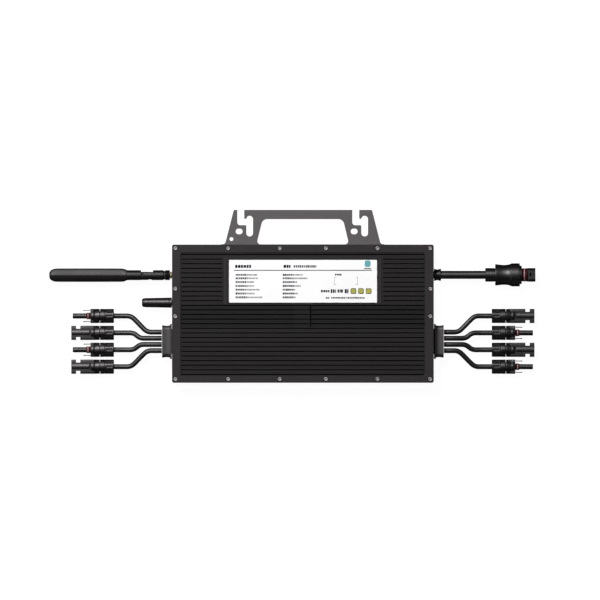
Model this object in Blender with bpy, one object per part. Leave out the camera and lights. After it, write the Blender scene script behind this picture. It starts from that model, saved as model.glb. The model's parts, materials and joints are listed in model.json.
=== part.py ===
"""Micro inverter with four solar leads on each side, an AC lead and two antennas.

Metres, +Z up. The case lies on its back: X runs along the case, Y points to the bracket, and the
origin is the centre of the case's back face. Places are given for the middle of each piece, and
`side` is -1 for the pieces on the case's -X end and +1 for those on its +X end.
"""

import math

import bmesh
import bpy

# Case
CASE_HALF_X = 0.178
CASE_HALF_Y = 0.094
CASE_CORNER = 0.0027
CASE_EDGE = 0.0009
TRAY_TOP = 0.030
COVER_BOTTOM = 0.0306
CASE_TOP = 0.040
GAP = 0.0003
# How far a cutter runs past the face that it opens
CUT_PAST = 0.001
PLUG_SIDES = 16
ROUND_SIDES = 20
RING_SIDES = 24
HOLE_SIDES = 12
CORD_STEPS = 4
CORD_POINT_GAP = 0.95
SEAT_SIDES = 10
SIDE_WALL = 0.004
FLANGE_WIDTH = 0.010
FLANGE_BOTTOM = 0.024
FLOOR_TOP = 0.004
BRACKET_PAD_TOP = 0.006
SEAL_SEAT_INNER = 0.0089
SEAL_SEAT_OUTER = 0.0065
SEAL_SEAT_DEPTH = 0.0015
TRAY_INNER_CORNER = 0.002
PAD_LEDGE = 0.005

# Cover: a field of fins inside the rim, with a raised pad for the label
FIELD_X = 0.1668
FIELD_Y = (-0.0855, 0.0834)
FIELD_TOP = 0.0390
FIELD_CORNER = 0.003
FIELD_SLOPE = 0.0012
PAD_X = (-0.1076, 0.1068)
PAD_Y = (0.0124, 0.0760)
PAD_CORNER = 0.002
GROOVE_COUNT = 27
GROOVE_FIRST_Y = 0.0804
GROOVE_PITCH = 0.006274
GROOVE_HALF_X = 0.1655
GROOVE_SIDE_INNER = 0.1093
GROOVE_TOP_WIDTH = 0.0020
GROOVE_FLOOR_WIDTH = 0.0014
GROOVE_FLOOR = 0.0328
PAD_GROOVES = range(1, 11)
BAND_GROOVES = range(11, 16)
BAND_Y = (-0.0186, 0.0119)
BAND_TOP = 0.0384
BRIDGE_X = (-0.0116, 0.0097)
BRIDGE_GROOVE_FLOOR = 0.0370
BRIDGE_GROOVE_TOP_WIDTH = 0.0022
BRIDGE_GROOVE_FLOOR_WIDTH = 0.0016
BRIDGE_SLIT_WIDTH = 0.0017
BRIDGE_LAP = 0.0005
LABEL_SEAT_X = 0.1036
LABEL_SEAT_Y = (0.0138, 0.0746)
LABEL_SEAT_FLOOR = 0.0392
LABEL_X = (-0.1004, 0.1008)
LABEL_Y = (0.0150, 0.0731)
LABEL_THICKNESS = 0.0003
LABEL_SEAT_CORNER = 0.0015
LABEL_CORNER = 0.001
SCREW_X = (0.1733, 0.1015, 0.0314)
SCREW_Y = 0.0889
SIDE_SCREW_X = 0.1735
SIDE_SCREW_Y = (0.0339, -0.0036)
SCREW_SEAT_RADIUS = 0.0034
SCREW_SEAT_DEPTH = 0.0018
SCREW_HOLE_RADIUS = 0.0017

# Bracket: a plate on the case's back, with a hook slot at each side of a handle opening
BRACKET_THICKNESS = 0.0025
BRACKET_HALF_X = 0.111
BRACKET_Y = (0.040, 0.1412)
EAR_ROOT = (0.1059, 0.0946)
EAR_TIP_X = 0.0940
HOOK_SHIFT = 0.1564
HOOK_ENTRY_X = (-0.0892, -0.0798)
HOOK_SHELF_Y = 0.1204
HOOK_SLOT_X = -0.0724
HOOK_SLOT_HALF = 0.00456
HOOK_SLOT_Y = (0.10966, 0.12854)
HOOK_NOSE_Y = 0.1304
HOOK_NOSE_RADIUS = 0.0016
OBLONG_HOLE_X = (-0.0914, -0.0820)
OBLONG_HOLE_Y = (0.1081, 0.1157)
EARTH_HOLE = (-0.0972, 0.1015)
EARTH_HOLE_RADIUS = 0.0026
HANDLE_CORNERS = (
    (-0.0631, 0.0943, 0.0045),
    (0.0627, 0.0943, 0.0045),
    (0.0545, 0.1286, 0.0080),
    (-0.0547, 0.1286, 0.0080),
)
BRACKET_SCREW_X = 0.092
BRACKET_SCREW_Y = (0.052, 0.082)
BRACKET_SCREW_HOLE = 0.0022
BRACKET_SCREW_DEPTH = 0.0057
BRACKET_SEAT_RADIUS = 0.0051
BRACKET_SEAT_TOP = 0.0021
BRACKET_POCKET_GAP = 0.0005
# Radius and height, from the countersunk head to the thread
BRACKET_SCREW_PROFILE = (
    (0.0036, 0.0002),
    (0.0018, 0.0020),
    (0.0018, 0.0053),
)

# Everything on the case's ends is centred at this height, and the solar plugs lie on the floor
PORT_HEIGHT = 0.016
PLUG_HEIGHT = 0.0099
PORT_INNER_END = -0.0046
GLAND_Y = -0.03775
GLAND_SPIGOT = (0.0170, 0.0070)
GLAND_CORNER = 0.0020
# Distance from the case, half width, half height and corner radius: spigot, flange, then block
GLAND_SECTIONS = (
    (PORT_INNER_END, *GLAND_SPIGOT, GLAND_CORNER),
    (0.0, *GLAND_SPIGOT, GLAND_CORNER),
    (0.0, 0.02395, 0.0135, 0.0030),
    (0.0021, 0.02395, 0.0135, 0.0030),
    (0.0036, 0.0216, 0.0118, 0.0055),
    (0.0080, 0.0214, 0.0116, 0.0055),
    (0.0128, 0.02205, 0.0120, 0.0055),
    (0.0132, 0.0217, 0.0116, 0.0052),
)
AC_Y = 0.0528
ANTENNA_Y = 0.0524
STUB_Y = 0.0150
PORT_HOLES = ((-1, ANTENNA_Y, 0.0036), (-1, STUB_Y, 0.0044), (1, AC_Y, 0.0054))

# Solar leads: exits, plugs and routes, each from the gland to the plug
LEAD_DIAMETER = 0.0069
LEAD_EXIT_Y = (-0.0251, -0.0335, -0.0419, -0.0503)
PLUG_Y = (-0.0031, -0.0261, -0.0491, -0.0721)
PLUG_NUT_X = 0.2569
PLUG_BODY_X = 0.2772
PLUG_RADIUS = 0.0097
ROD_PLUGS = (1, 3, 6, 8)
# Distance along X, share of the way across to the plug, and height
OUTER_LEAD_ROUTE = (
    (0.1918, 0.000, 0.01600),
    (0.1980, 0.000, 0.01597),
    (0.2030, 0.000, 0.01567),
    (0.2060, 0.000, 0.01536),
    (0.2084, 0.010, 0.01506),
    (0.2108, 0.040, 0.01471),
    (0.2132, 0.093, 0.01433),
    (0.2157, 0.182, 0.01391),
    (0.2191, 0.336, 0.01330),
    (0.2226, 0.500, 0.01266),
    (0.2261, 0.664, 0.01203),
    (0.2295, 0.818, 0.01146),
    (0.2320, 0.907, 0.01107),
    (0.2344, 0.960, 0.01073),
    (0.2368, 0.990, 0.01044),
    (0.2392, 1.000, 0.01021),
    (0.2422, 1.000, 0.01000),
    (0.2470, 1.000, 0.00990),
    (0.2520, 1.000, 0.00990),
    (0.2566, 1.000, 0.00990),
)
INNER_LEAD_ROUTE = (
    (0.1918, 0.000, 0.01600),
    (0.1980, 0.000, 0.01597),
    (0.2030, 0.000, 0.01567),
    (0.2080, 0.000, 0.01512),
    (0.2124, 0.000, 0.01446),
    (0.2164, 0.000, 0.01378),
    (0.2188, 0.028, 0.01335),
    (0.2212, 0.116, 0.01291),
    (0.2235, 0.265, 0.01249),
    (0.2258, 0.500, 0.01208),
    (0.2281, 0.735, 0.01168),
    (0.2304, 0.884, 0.01131),
    (0.2328, 0.972, 0.01096),
    (0.2352, 1.000, 0.01064),
    (0.2392, 1.000, 0.01021),
    (0.2440, 1.000, 0.00993),
    (0.2500, 1.000, 0.00990),
    (0.2566, 1.000, 0.00990),
)

# AC lead, from the bottom of the strain relief's bore to the bottom of the plug's bore
AC_DIAMETER = 0.011
AC_BORE_RADIUS = 0.0058
AC_ROUTE = (
    (0.1816, 0.0528, 0.0160),
    (0.1860, 0.0528, 0.0160),
    (0.1905, 0.0528, 0.0160),
    (0.1950, 0.0528, 0.01598),
    (0.1998, 0.0528, 0.01592),
    (0.2046, 0.0528, 0.01584),
    (0.2094, 0.0528, 0.01577),
    (0.2140, 0.0528, 0.01573),
    (0.2180, 0.0528, 0.01572),
    (0.2222, 0.0528, 0.01573),
    (0.2268, 0.0528, 0.01577),
    (0.2316, 0.0528, 0.01584),
    (0.2364, 0.0528, 0.01592),
    (0.2410, 0.0528, 0.01598),
    (0.2455, 0.0528, 0.0160),
    (0.2502, 0.0528, 0.0160),
    (0.2549, 0.0528, 0.0160),
)
AC_PLUG_X = 0.2480
AC_RING_X = 0.2615
AC_INSERT_X = 0.2980

# Turned profiles: distance along the axis from the piece's own origin, and radius
STRAIN_RELIEF_PROFILE = (
    (PORT_INNER_END, 0.0050),
    (0.0, 0.0050),
    (0.0, 0.0078),
    (0.0004, 0.0081),
    (0.0020, 0.0081),
    (0.0026, 0.0075),
    (0.0064, 0.0075),
    (0.0070, 0.0081),
    (0.0091, 0.0081),
    (0.0096, 0.0076),
    (0.0096, AC_BORE_RADIUS),
    (0.0030, AC_BORE_RADIUS),
)
AC_BODY_PROFILE = (
    (0.0072, AC_BORE_RADIUS),
    (0.0, AC_BORE_RADIUS),
    (0.0, 0.0089),
    (0.0004, 0.0093),
    (0.0179, 0.0093),
    (0.0179, 0.01245),
    (0.0493, 0.01245),
    (0.0497, 0.0120),
)
AC_RING_PROFILE = (
    (0.0, 0.0141),
    (0.0004, 0.0145),
    (0.0070, 0.0138),
    (0.0130, 0.0135),
    (0.0185, 0.0140),
    (0.0215, 0.0151),
    (0.0221, 0.01575),
    (0.0332, 0.01575),
    (0.0336, 0.0153),
    (0.0336, 0.0132),
    (0.0040, 0.0132),
    (0.0040, 0.0099),
    (0.0, 0.0099),
)
AC_SEAL_PROFILE = (
    (0.0, 0.0089),
    (0.0030, 0.0091),
    (0.0062, 0.0091),
    (0.0066, 0.0088),
    (0.0066, 0.0064),
    (0.0, 0.0064),
)
AC_NECK_PROFILE = (
    (0.0, 0.0060),
    (0.0080, 0.0060),
)
AC_SOCKET_PROFILE = (
    (0.0103, 0.0044),
    (0.0200, 0.0044),
)
AC_INSERT_PROFILE = (
    (0.0069, 0.0087),
    (0.0072, 0.0091),
    (0.0180, 0.0091),
    (0.0183, 0.0087),
)
# Two flats run along the insert, above and below its middle
AC_INSERT_FLAT = 0.0054
AC_FLAT_X = (0.0, 0.020)
AC_FLAT_REACH = 0.010
PLUG_NUT_PROFILE = (
    (0.0125, 0.0066),
    (0.0189, 0.0066),
    (0.0189, 0.0094),
    (0.0185, PLUG_RADIUS),
    (0.0005, PLUG_RADIUS),
    (0.0, 0.0092),
)
PLUG_SPIGOT_PROFILE = (
    (-0.0072, 0.0062),
    (0.0020, 0.0062),
)
ROD_PROFILE = (
    (0.0100, 0.00355),
    (0.0354, 0.00355),
    (0.0358, 0.0031),
)
SOCKET_BORE_PROFILE = (
    (0.0134, 0.0052),
    (0.0390, 0.0052),
)
HOUSING_HALF_Y = 0.0097
HOUSING_HALF_Z = 0.0078
HOUSING_EDGE = 0.0004
HOUSING_CORNERS = (0.0026, 0.0030)
HOUSING_START = -0.0010
ROD_HOUSING_END = 0.0118
SOCKET_HOUSING_END = 0.0378
NOTCH_X = (0.0255, 0.0312)
NOTCH_DEPTH = 0.0040
NOTCH_REACH = 0.012
LATCH_OFFSET = 0.0077
LATCH_ROOT_X = 0.2893
LATCH_LENGTH = 0.0094
LATCH_HALF_WIDTH = 0.0030
# Distance along the arm and across it, with the barb on the outer face
LATCH_OUTLINE = (
    (0.0, -0.0006),
    (0.0093, -0.0007),
    (LATCH_LENGTH, -0.0002),
    (0.0078, 0.0008),
    (0.0070, 0.0003),
    (0.0, 0.0006),
)
ANTENNA_SOCKET_PROFILE = (
    (PORT_INNER_END, 0.0032),
    (0.0, 0.0032),
    (0.0, 0.0047),
    (0.0024, 0.0047),
    (0.0024, 0.0033),
    (0.0086, 0.0033),
)
ANTENNA_NUT_X = 0.1809
ANTENNA_NUT_PROFILE = (
    (0.0, 0.0063),
    (0.0004, 0.0067),
    (0.0055, 0.0067),
    (0.0059, 0.0063),
    (0.0059, 0.0038),
    (0.0, 0.0038),
)
STUB_PROFILE = (
    (PORT_INNER_END, 0.0040),
    (0.0, 0.0040),
    (0.0, 0.0070),
    (0.0160, 0.0066),
    (0.0345, 0.0063),
    (0.0385, 0.0060),
    (0.0400, 0.0050),
    (0.0406, 0.0034),
)

# Antenna: a base that turns about X, and a blade that tilts about the pin in the base's fork
ANTENNA_RADIUS = 0.0068
BASE_GROOVE_RADIUS = 0.0059
BASE_X = (0.1872, 0.2193)
BASE_GROOVE_END = 0.1897
FORK_X = 0.2038
FORK_NOTCH = 0.0046
FORK_SLOT = 0.0033
PIN_X = 0.2120
PIN_DROP = 0.0010
PIN_RADIUS = 0.0015
PIN_HALF_LENGTH = 0.0061
PIN_HOLE_RADIUS = 0.0019
FORK_END_RADIUS = 0.0055
FORK_HEEL = 0.0022
TONGUE_RADIUS = 0.0050
TONGUE_HALF = 0.0030
TONGUE_LAP = 0.002
ARM_X = 0.2201
# Distance along X, half width and half thickness of the blade, from the arm to the tip
BLADE_SECTIONS = (
    (0.2201, 0.0068, 0.0068),
    (0.2382, 0.0068, 0.0068),
    (0.2400, 0.0073, 0.0063),
    (0.2430, 0.0084, 0.0056),
    (0.2465, 0.0089, 0.0052),
    (0.2900, 0.0090, 0.0050),
    (0.3370, 0.0089, 0.0048),
    (0.3405, 0.0080, 0.0043),
    (0.3432, 0.0062, 0.0034),
    (0.3450, 0.0030, 0.0018),
)

# Inside the case: middle, half sizes and bottom of each block
BOARD_HALF = (0.160, 0.078)
BOARD_Z = (0.0090, 0.0106)
BOARD_CORNER = 0.003
TRANSFORMER_HALF = (0.028, 0.022)
TRANSFORMER_X = 0.085
TRANSFORMER_Y = -0.030
TRANSFORMER_Z = (0.0110, 0.0290)
TRANSFORMER_CORNER = 0.003
RELAY_PLACE = (0.130, 0.045)
RELAY_HALF = (0.014, 0.010)
RELAY_Z = (0.0110, 0.0265)
RELAY_CORNER = 0.001
CAPACITOR_PLACE = (-0.020, 0.040)
CAPACITOR_RADIUS = 0.009
CAPACITOR_LENGTH = 0.045
CAPACITOR_EDGE = 0.001

BLACK_CAST = ("black_cast", (0.045, 0.042, 0.043), 0.55, 0.35)
BLACK_ANODISED = ("black_anodised", (0.030, 0.028, 0.029), 0.50, 0.45)
GREY_STEEL = ("grey_coated_steel", (0.125, 0.117, 0.119), 0.55, 0.30)
ZINC = ("zinc_screw", (0.60, 0.59, 0.58), 0.35, 0.90)
LABEL_WHITE = ("label_film", (0.90, 0.90, 0.90), 0.45, 0.0)
BLACK_PLASTIC = ("black_plastic", (0.030, 0.028, 0.029), 0.45, 0.0)
PLUG_PLASTIC = ("plug_plastic", (0.022, 0.022, 0.023), 0.35, 0.0)
CABLE_JACKET = ("cable_jacket", (0.015, 0.015, 0.015), 0.40, 0.0)
SEAL_RED = ("seal_red", (0.25, 0.025, 0.020), 0.50, 0.0)
BRASS = ("antenna_brass", (0.60, 0.50, 0.25), 0.35, 1.0)
ANTENNA_BLACK = ("antenna_black", (0.055, 0.052, 0.053), 0.55, 0.0)
GASKET_RUBBER = ("gasket_rubber", (0.02, 0.02, 0.02), 0.80, 0.0)
BOARD_GREEN = ("board_green", (0.02, 0.13, 0.06), 0.45, 0.0)
CORE_FERRITE = ("core_ferrite", (0.06, 0.06, 0.065), 0.60, 0.0)
CAN_SLEEVE = ("can_sleeve", (0.03, 0.05, 0.12), 0.40, 0.0)
RELAY_BLUE = ("relay_case", (0.03, 0.09, 0.25), 0.45, 0.0)


def clear_scene():
    for item in list(bpy.data.objects):
        bpy.data.objects.remove(item, do_unlink=True)


def material(finish):
    name, colour, roughness, metallic = finish
    made = bpy.data.materials.get(name) or bpy.data.materials.new(name)
    made.use_nodes = True
    shader = made.node_tree.nodes["Principled BSDF"]
    shader.inputs["Base Color"].default_value = (*colour, 1.0)
    shader.inputs["Roughness"].default_value = roughness
    shader.inputs["Metallic"].default_value = metallic
    return made


def add_object(name, shape, finish, place=(0.0, 0.0, 0.0), smooth_below=35.0):
    bmesh.ops.recalc_face_normals(shape, faces=shape.faces)
    mesh = bpy.data.meshes.new(name)
    shape.to_mesh(mesh)
    shape.free()
    mesh.materials.append(material(finish))
    mesh.shade_smooth()
    mesh.set_sharp_from_angle(angle=math.radians(smooth_below))
    item = bpy.data.objects.new(name, mesh)
    item.location = place
    bpy.context.collection.objects.link(item)
    return item


def boolean(target, shape, operation="DIFFERENCE"):
    """Combine a target with a hidden tool, which is modelled about the target's own origin."""
    count = len(target.modifiers) + 1
    tool = add_object(f"tool_{count}_{target.name}", shape, BLACK_CAST, target.location)
    tool.hide_render = True
    tool.display_type = "WIRE"
    step = target.modifiers.new(f"{operation.lower()}_{count}", "BOOLEAN")
    step.operation = operation
    step.object = tool


def loft(rings, closed=False):
    """Skin rings of equally many points: capped at both ends, or closed from last to first."""
    shape = bmesh.new()
    add_loft(shape, rings, closed)
    return shape


def add_loft(shape, rings, closed=False):
    loops = [[shape.verts.new(point) for point in ring] for ring in rings]
    pairs = list(zip(loops, loops[1:]))
    if closed:
        pairs.append((loops[-1], loops[0]))
    for lower, upper in pairs:
        for i in range(len(lower)):
            shape.faces.new((lower[i - 1], lower[i], upper[i], upper[i - 1]))
    if not closed:
        shape.faces.new(loops[0])
        shape.faces.new(loops[-1])


def lifted(outline, height):
    return [(x, y, height) for x, y in outline]


def prism(outline, low, high):
    return loft([lifted(outline, low), lifted(outline, high)])


def turned(profile, sides, side=1, closed=False):
    """Turn a profile about the X axis; side -1 points it towards -X."""
    rings = []
    for along, radius in profile:
        turns = [math.tau * i / sides for i in range(sides)]
        rings.append([(side * along, radius * math.cos(t), radius * math.sin(t)) for t in turns])
    return loft(rings, closed)


def box_rings(side, sections):
    """Rounded boxes across the X axis, from (distance along, half Y, half Z, corner radius)."""
    rings = []
    for along, half_y, half_z, corner in sections:
        rings.append([(side * along, y, z) for y, z in centred_box(half_y, half_z, corner)])
    return rings


def arc(centre, radius, start, end, steps):
    """Points on an arc, with its angles in degrees."""
    points = []
    for i in range(steps + 1):
        angle = math.radians(start + (end - start) * i / steps)
        points.append((centre[0] + radius * math.cos(angle), centre[1] + radius * math.sin(angle)))
    return points


def circle(centre, radius, sides):
    return arc(centre, radius, 0.0, 360.0, sides)[:-1]


def rounded_box(x_range, y_range, radius, steps=2):
    x_low, x_high = x_range
    y_low, y_high = y_range
    corners = ((x_high, y_low, -90), (x_high, y_high, 0), (x_low, y_high, 90), (x_low, y_low, 180))
    points = []
    for x, y, start in corners:
        centre_x = x - math.copysign(radius, x - x_low - radius)
        centre_y = y - math.copysign(radius, y - y_low - radius)
        points += arc((centre_x, centre_y), radius, start, start + 90, steps)
    return points


def centred_box(half_x, half_y, radius, steps=2):
    return rounded_box((-half_x, half_x), (-half_y, half_y), radius, steps)


def filleted(corners, steps=3):
    """An outline with rounded corners, from (x, y, radius) with radius 0 for a sharp corner."""
    points = []
    for i, (x, y, radius) in enumerate(corners):
        if radius == 0:
            points.append((x, y))
            continue
        before, after = corners[i - 1], corners[(i + 1) % len(corners)]
        back = math.atan2(before[1] - y, before[0] - x)
        ahead = math.atan2(after[1] - y, after[0] - x)
        half = math.remainder(ahead - back, math.tau) / 2
        reach = radius / math.sin(abs(half))
        middle = back + half
        centre = (x + reach * math.cos(middle), y + reach * math.sin(middle))
        turn = math.copysign(math.pi / 2 - abs(half), half)
        first, last = middle + math.pi + turn, middle + math.pi - turn
        points += arc(centre, radius, math.degrees(first), math.degrees(last), steps)
    return points


def smooth_curve(points, steps):
    """Read a Catmull-Rom curve through the points, with this many steps in each span."""
    ends = [points[0]] + list(points) + [points[-1]]
    read = []
    for before, start, end, after in zip(ends, ends[1:], ends[2:], ends[3:]):
        for i in range(steps):
            t = i / steps
            place = []
            for a, b, c, d in zip(before, start, end, after):
                bend = 2 * a - 5 * b + 4 * c - d
                twist = 3 * (b - c) + d - a
                place.append(0.5 * (2 * b + (c - a) * t + bend * t * t + twist * t * t * t))
            read.append(place)
    read.append(list(points[-1]))
    return read


def cord(name, route, diameter, resolution, finish):
    """A tube along the smooth curve through a route, with a point about every two diameters."""
    read = smooth_curve(route, CORD_STEPS)
    kept = [read[0]]
    for place in read[:-1]:
        if math.dist(place, kept[-1]) > CORD_POINT_GAP * diameter:
            kept.append(place)
    if math.dist(read[-1], kept[-1]) < diameter:
        kept.pop()
    kept.append(read[-1])
    curve = bpy.data.curves.new(name, "CURVE")
    curve.dimensions = "3D"
    curve.bevel_depth = diameter / 2
    curve.bevel_resolution = resolution
    curve.use_fill_caps = True
    spline = curve.splines.new("POLY")
    spline.points.add(len(kept) - 1)
    for point, place in zip(spline.points, kept):
        point.co = (*place, 1.0)
    spline.use_smooth = True
    curve.materials.append(material(finish))
    bpy.context.collection.objects.link(bpy.data.objects.new(name, curve))


def cover_screw_places():
    """The sixteen screws of the cover: six along each long edge, two more on each short edge."""
    places = [(side * x, end * SCREW_Y) for side in (-1, 1) for end in (-1, 1) for x in SCREW_X]
    places += [(side * SIDE_SCREW_X, y) for side in (-1, 1) for y in SIDE_SCREW_Y]
    return places


def bracket_screw_places():
    return [(side * BRACKET_SCREW_X, y) for side in (-1, 1) for y in BRACKET_SCREW_Y]


def case_outline(inset=0.0):
    return centred_box(CASE_HALF_X - inset, CASE_HALF_Y - inset, CASE_CORNER - inset)


def tray_cavity(wall, low, high):
    return prism(centred_box(CASE_HALF_X - wall, CASE_HALF_Y - wall, TRAY_INNER_CORNER), low, high)


def build_rear_tray():
    shape = loft([
        lifted(case_outline(CASE_EDGE), 0.0),
        lifted(case_outline(), CASE_EDGE),
        lifted(case_outline(), TRAY_TOP),
    ])
    tray = add_object("rear_tray", shape, BLACK_CAST)
    boolean(tray, tray_cavity(SIDE_WALL, BRACKET_PAD_TOP, FLANGE_BOTTOM))
    boolean(tray, tray_cavity(FLANGE_WIDTH, FLANGE_BOTTOM - CUT_PAST, TRAY_TOP + CUT_PAST))
    low_floor = rounded_box((-CASE_HALF_X + SIDE_WALL, CASE_HALF_X - SIDE_WALL),
                            (-CASE_HALF_Y + SIDE_WALL, BRACKET_Y[0] - PAD_LEDGE), TRAY_INNER_CORNER)
    boolean(tray, prism(low_floor, FLOOR_TOP, BRACKET_PAD_TOP + CUT_PAST))
    pocket_half_x = BRACKET_HALF_X + BRACKET_POCKET_GAP
    pocket = rounded_box((-pocket_half_x, pocket_half_x),
                         (BRACKET_Y[0] - BRACKET_POCKET_GAP, CASE_HALF_Y + 0.01), 0.001)
    boolean(tray, prism(pocket, -CUT_PAST, BRACKET_THICKNESS + GAP))
    seat = loft([
        lifted(centred_box(CASE_HALF_X - inset, CASE_HALF_Y - inset, TRAY_INNER_CORNER), height)
        for inset, height in (
            (SEAL_SEAT_OUTER, TRAY_TOP - SEAL_SEAT_DEPTH),
            (SEAL_SEAT_OUTER, TRAY_TOP + CUT_PAST),
            (SEAL_SEAT_INNER, TRAY_TOP + CUT_PAST),
            (SEAL_SEAT_INNER, TRAY_TOP - SEAL_SEAT_DEPTH),
        )
    ], closed=True)
    boolean(tray, seat)
    drill = bmesh.new()
    for side, y, radius in PORT_HOLES:
        add_wall_hole(drill, side, circle((y, PORT_HEIGHT), radius, HOLE_SIDES))
    for side in (-1, 1):
        half_y, half_z = GLAND_SPIGOT
        window = rounded_box((GLAND_Y - half_y - GAP, GLAND_Y + half_y + GAP),
                             (PORT_HEIGHT - half_z - GAP, PORT_HEIGHT + half_z + GAP), GLAND_CORNER)
        add_wall_hole(drill, side, window)
    for place in bracket_screw_places():
        hole = circle(place, BRACKET_SCREW_HOLE, HOLE_SIDES)
        add_loft(drill, [lifted(hole, BRACKET_THICKNESS - CUT_PAST / 2), lifted(hole, BRACKET_SCREW_DEPTH)])
    boolean(tray, drill)


def add_wall_hole(shape, side, outline):
    """A hole through the case's end wall, from an outline in Y and Z."""
    inner, outer = CASE_HALF_X - SIDE_WALL - 2 * CUT_PAST, CASE_HALF_X + 2 * CUT_PAST
    add_loft(shape, [[(side * x, y, z) for y, z in outline] for x in (inner, outer)])


def add_groove(shape, x_range, y, floor, top_width, floor_width):
    rings = []
    for width, height in ((floor_width, floor), (top_width, CASE_TOP + CUT_PAST)):
        rings.append([
            (x_range[0], y - width / 2, height),
            (x_range[1], y - width / 2, height),
            (x_range[1], y + width / 2, height),
            (x_range[0], y + width / 2, height),
        ])
    add_loft(shape, rings)


def groove_spans(index):
    """The stretches along X over which one groove runs at full depth."""
    if index in PAD_GROOVES:
        return ((-GROOVE_HALF_X, -GROOVE_SIDE_INNER), (GROOVE_SIDE_INNER, GROOVE_HALF_X))
    if index in BAND_GROOVES:
        return ((-GROOVE_HALF_X, BRIDGE_X[0]), (BRIDGE_X[1] + BRIDGE_SLIT_WIDTH, GROOVE_HALF_X))
    return ((-GROOVE_HALF_X, GROOVE_HALF_X),)


def groove_y(index):
    return GROOVE_FIRST_Y - GROOVE_PITCH * index


def build_cover():
    shape = loft([
        lifted(case_outline(), COVER_BOTTOM),
        lifted(case_outline(), CASE_TOP - CASE_EDGE),
        lifted(case_outline(CASE_EDGE), CASE_TOP),
    ])
    cover = add_object("finned_cover", shape, BLACK_ANODISED)
    slope = FIELD_SLOPE
    above = CASE_TOP + slope

    def field(grow):
        return rounded_box((-FIELD_X - grow, FIELD_X + grow),
                           (FIELD_Y[0] - grow, FIELD_Y[1] + grow), FIELD_CORNER)

    def pad(grow):
        return rounded_box((PAD_X[0] - grow, PAD_X[1] + grow),
                           (PAD_Y[0] - grow, PAD_Y[1] + grow), PAD_CORNER)

    boolean(cover, loft([
        lifted(field(-slope), FIELD_TOP),
        lifted(field(slope), above),
        lifted(pad(-slope / 2), above),
        lifted(pad(slope / 2), FIELD_TOP),
    ], closed=True))
    band = rounded_box((-GROOVE_HALF_X, GROOVE_HALF_X), BAND_Y, 0.0005, 1)
    boolean(cover, prism(band, BAND_TOP, CASE_TOP + CUT_PAST))
    grooves = bmesh.new()
    for index in range(GROOVE_COUNT):
        for span in groove_spans(index):
            add_groove(grooves, span, groove_y(index), GROOVE_FLOOR, GROOVE_TOP_WIDTH, GROOVE_FLOOR_WIDTH)
    for place in cover_screw_places():
        seat = circle(place, SCREW_SEAT_RADIUS, SEAT_SIDES)
        hole = circle(place, SCREW_HOLE_RADIUS, SEAT_SIDES)
        add_loft(grooves, [
            lifted(hole, COVER_BOTTOM - CUT_PAST),
            lifted(hole, CASE_TOP - SCREW_SEAT_DEPTH),
            lifted(seat, CASE_TOP - SCREW_SEAT_DEPTH),
            lifted(seat, CASE_TOP + CUT_PAST),
        ])
    boolean(cover, grooves)
    bridge = bmesh.new()
    for index in BAND_GROOVES:
        span = (BRIDGE_X[0] - BRIDGE_LAP, BRIDGE_X[1] + BRIDGE_LAP)
        add_groove(bridge, span, groove_y(index), BRIDGE_GROOVE_FLOOR,
                   BRIDGE_GROOVE_TOP_WIDTH, BRIDGE_GROOVE_FLOOR_WIDTH)
    boolean(cover, bridge)
    slit = rounded_box((BRIDGE_X[1], BRIDGE_X[1] + BRIDGE_SLIT_WIDTH + 0.0001), BAND_Y, 0.0003, 1)
    boolean(cover, prism(slit, GROOVE_FLOOR + CUT_PAST, CASE_TOP + CUT_PAST))
    label_seat = rounded_box((-LABEL_SEAT_X, LABEL_SEAT_X), LABEL_SEAT_Y, LABEL_SEAT_CORNER)
    boolean(cover, prism(label_seat, LABEL_SEAT_FLOOR, CASE_TOP + CUT_PAST))


def build_gasket():
    low, high = TRAY_TOP - SEAL_SEAT_DEPTH + GAP, COVER_BOTTOM - GAP
    outer, inner = SEAL_SEAT_OUTER + GAP, SEAL_SEAT_INNER - GAP
    rings = []
    for inset, height in ((outer, low), (outer, high), (inner, high), (inner, low)):
        outline = centred_box(CASE_HALF_X - inset, CASE_HALF_Y - inset, TRAY_INNER_CORNER)
        rings.append(lifted(outline, height))
    add_object("cover_gasket", loft(rings, closed=True), GASKET_RUBBER)


def build_label():
    low = LABEL_SEAT_FLOOR + GAP
    outline = rounded_box(LABEL_X, LABEL_Y, LABEL_CORNER)
    add_object("rating_label", prism(outline, low, low + LABEL_THICKNESS), LABEL_WHITE)


def hook_notch(shift):
    """The hook slot: in from the plate's top edge, along a shelf, then into an upright slot."""
    slot_x, half = HOOK_SLOT_X + shift, HOOK_SLOT_HALF
    outer, inner = HOOK_ENTRY_X[0] + shift, HOOK_ENTRY_X[1] + shift
    slot_low, slot_high = HOOK_SLOT_Y
    above = BRACKET_Y[1] + 0.01
    notch = filleted([
        (outer, above, 0),
        (outer, HOOK_SHELF_Y, 0.0040),
        (slot_x - half, HOOK_SHELF_Y, 0.0012),
        (slot_x - half, slot_low, 0),
    ])
    notch += arc((slot_x, slot_low), half, 180, 360, 8)[1:]
    notch += arc((slot_x, slot_high), half, 0, 140, 7)
    notch += arc((inner + HOOK_NOSE_RADIUS, HOOK_NOSE_Y), HOOK_NOSE_RADIUS, 320, 180, 5)
    notch.append((inner, above))
    return notch


def oblong_hole(shift):
    return rounded_box((OBLONG_HOLE_X[0] + shift, OBLONG_HOLE_X[1] + shift), OBLONG_HOLE_Y, 0.0037, 4)


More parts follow.
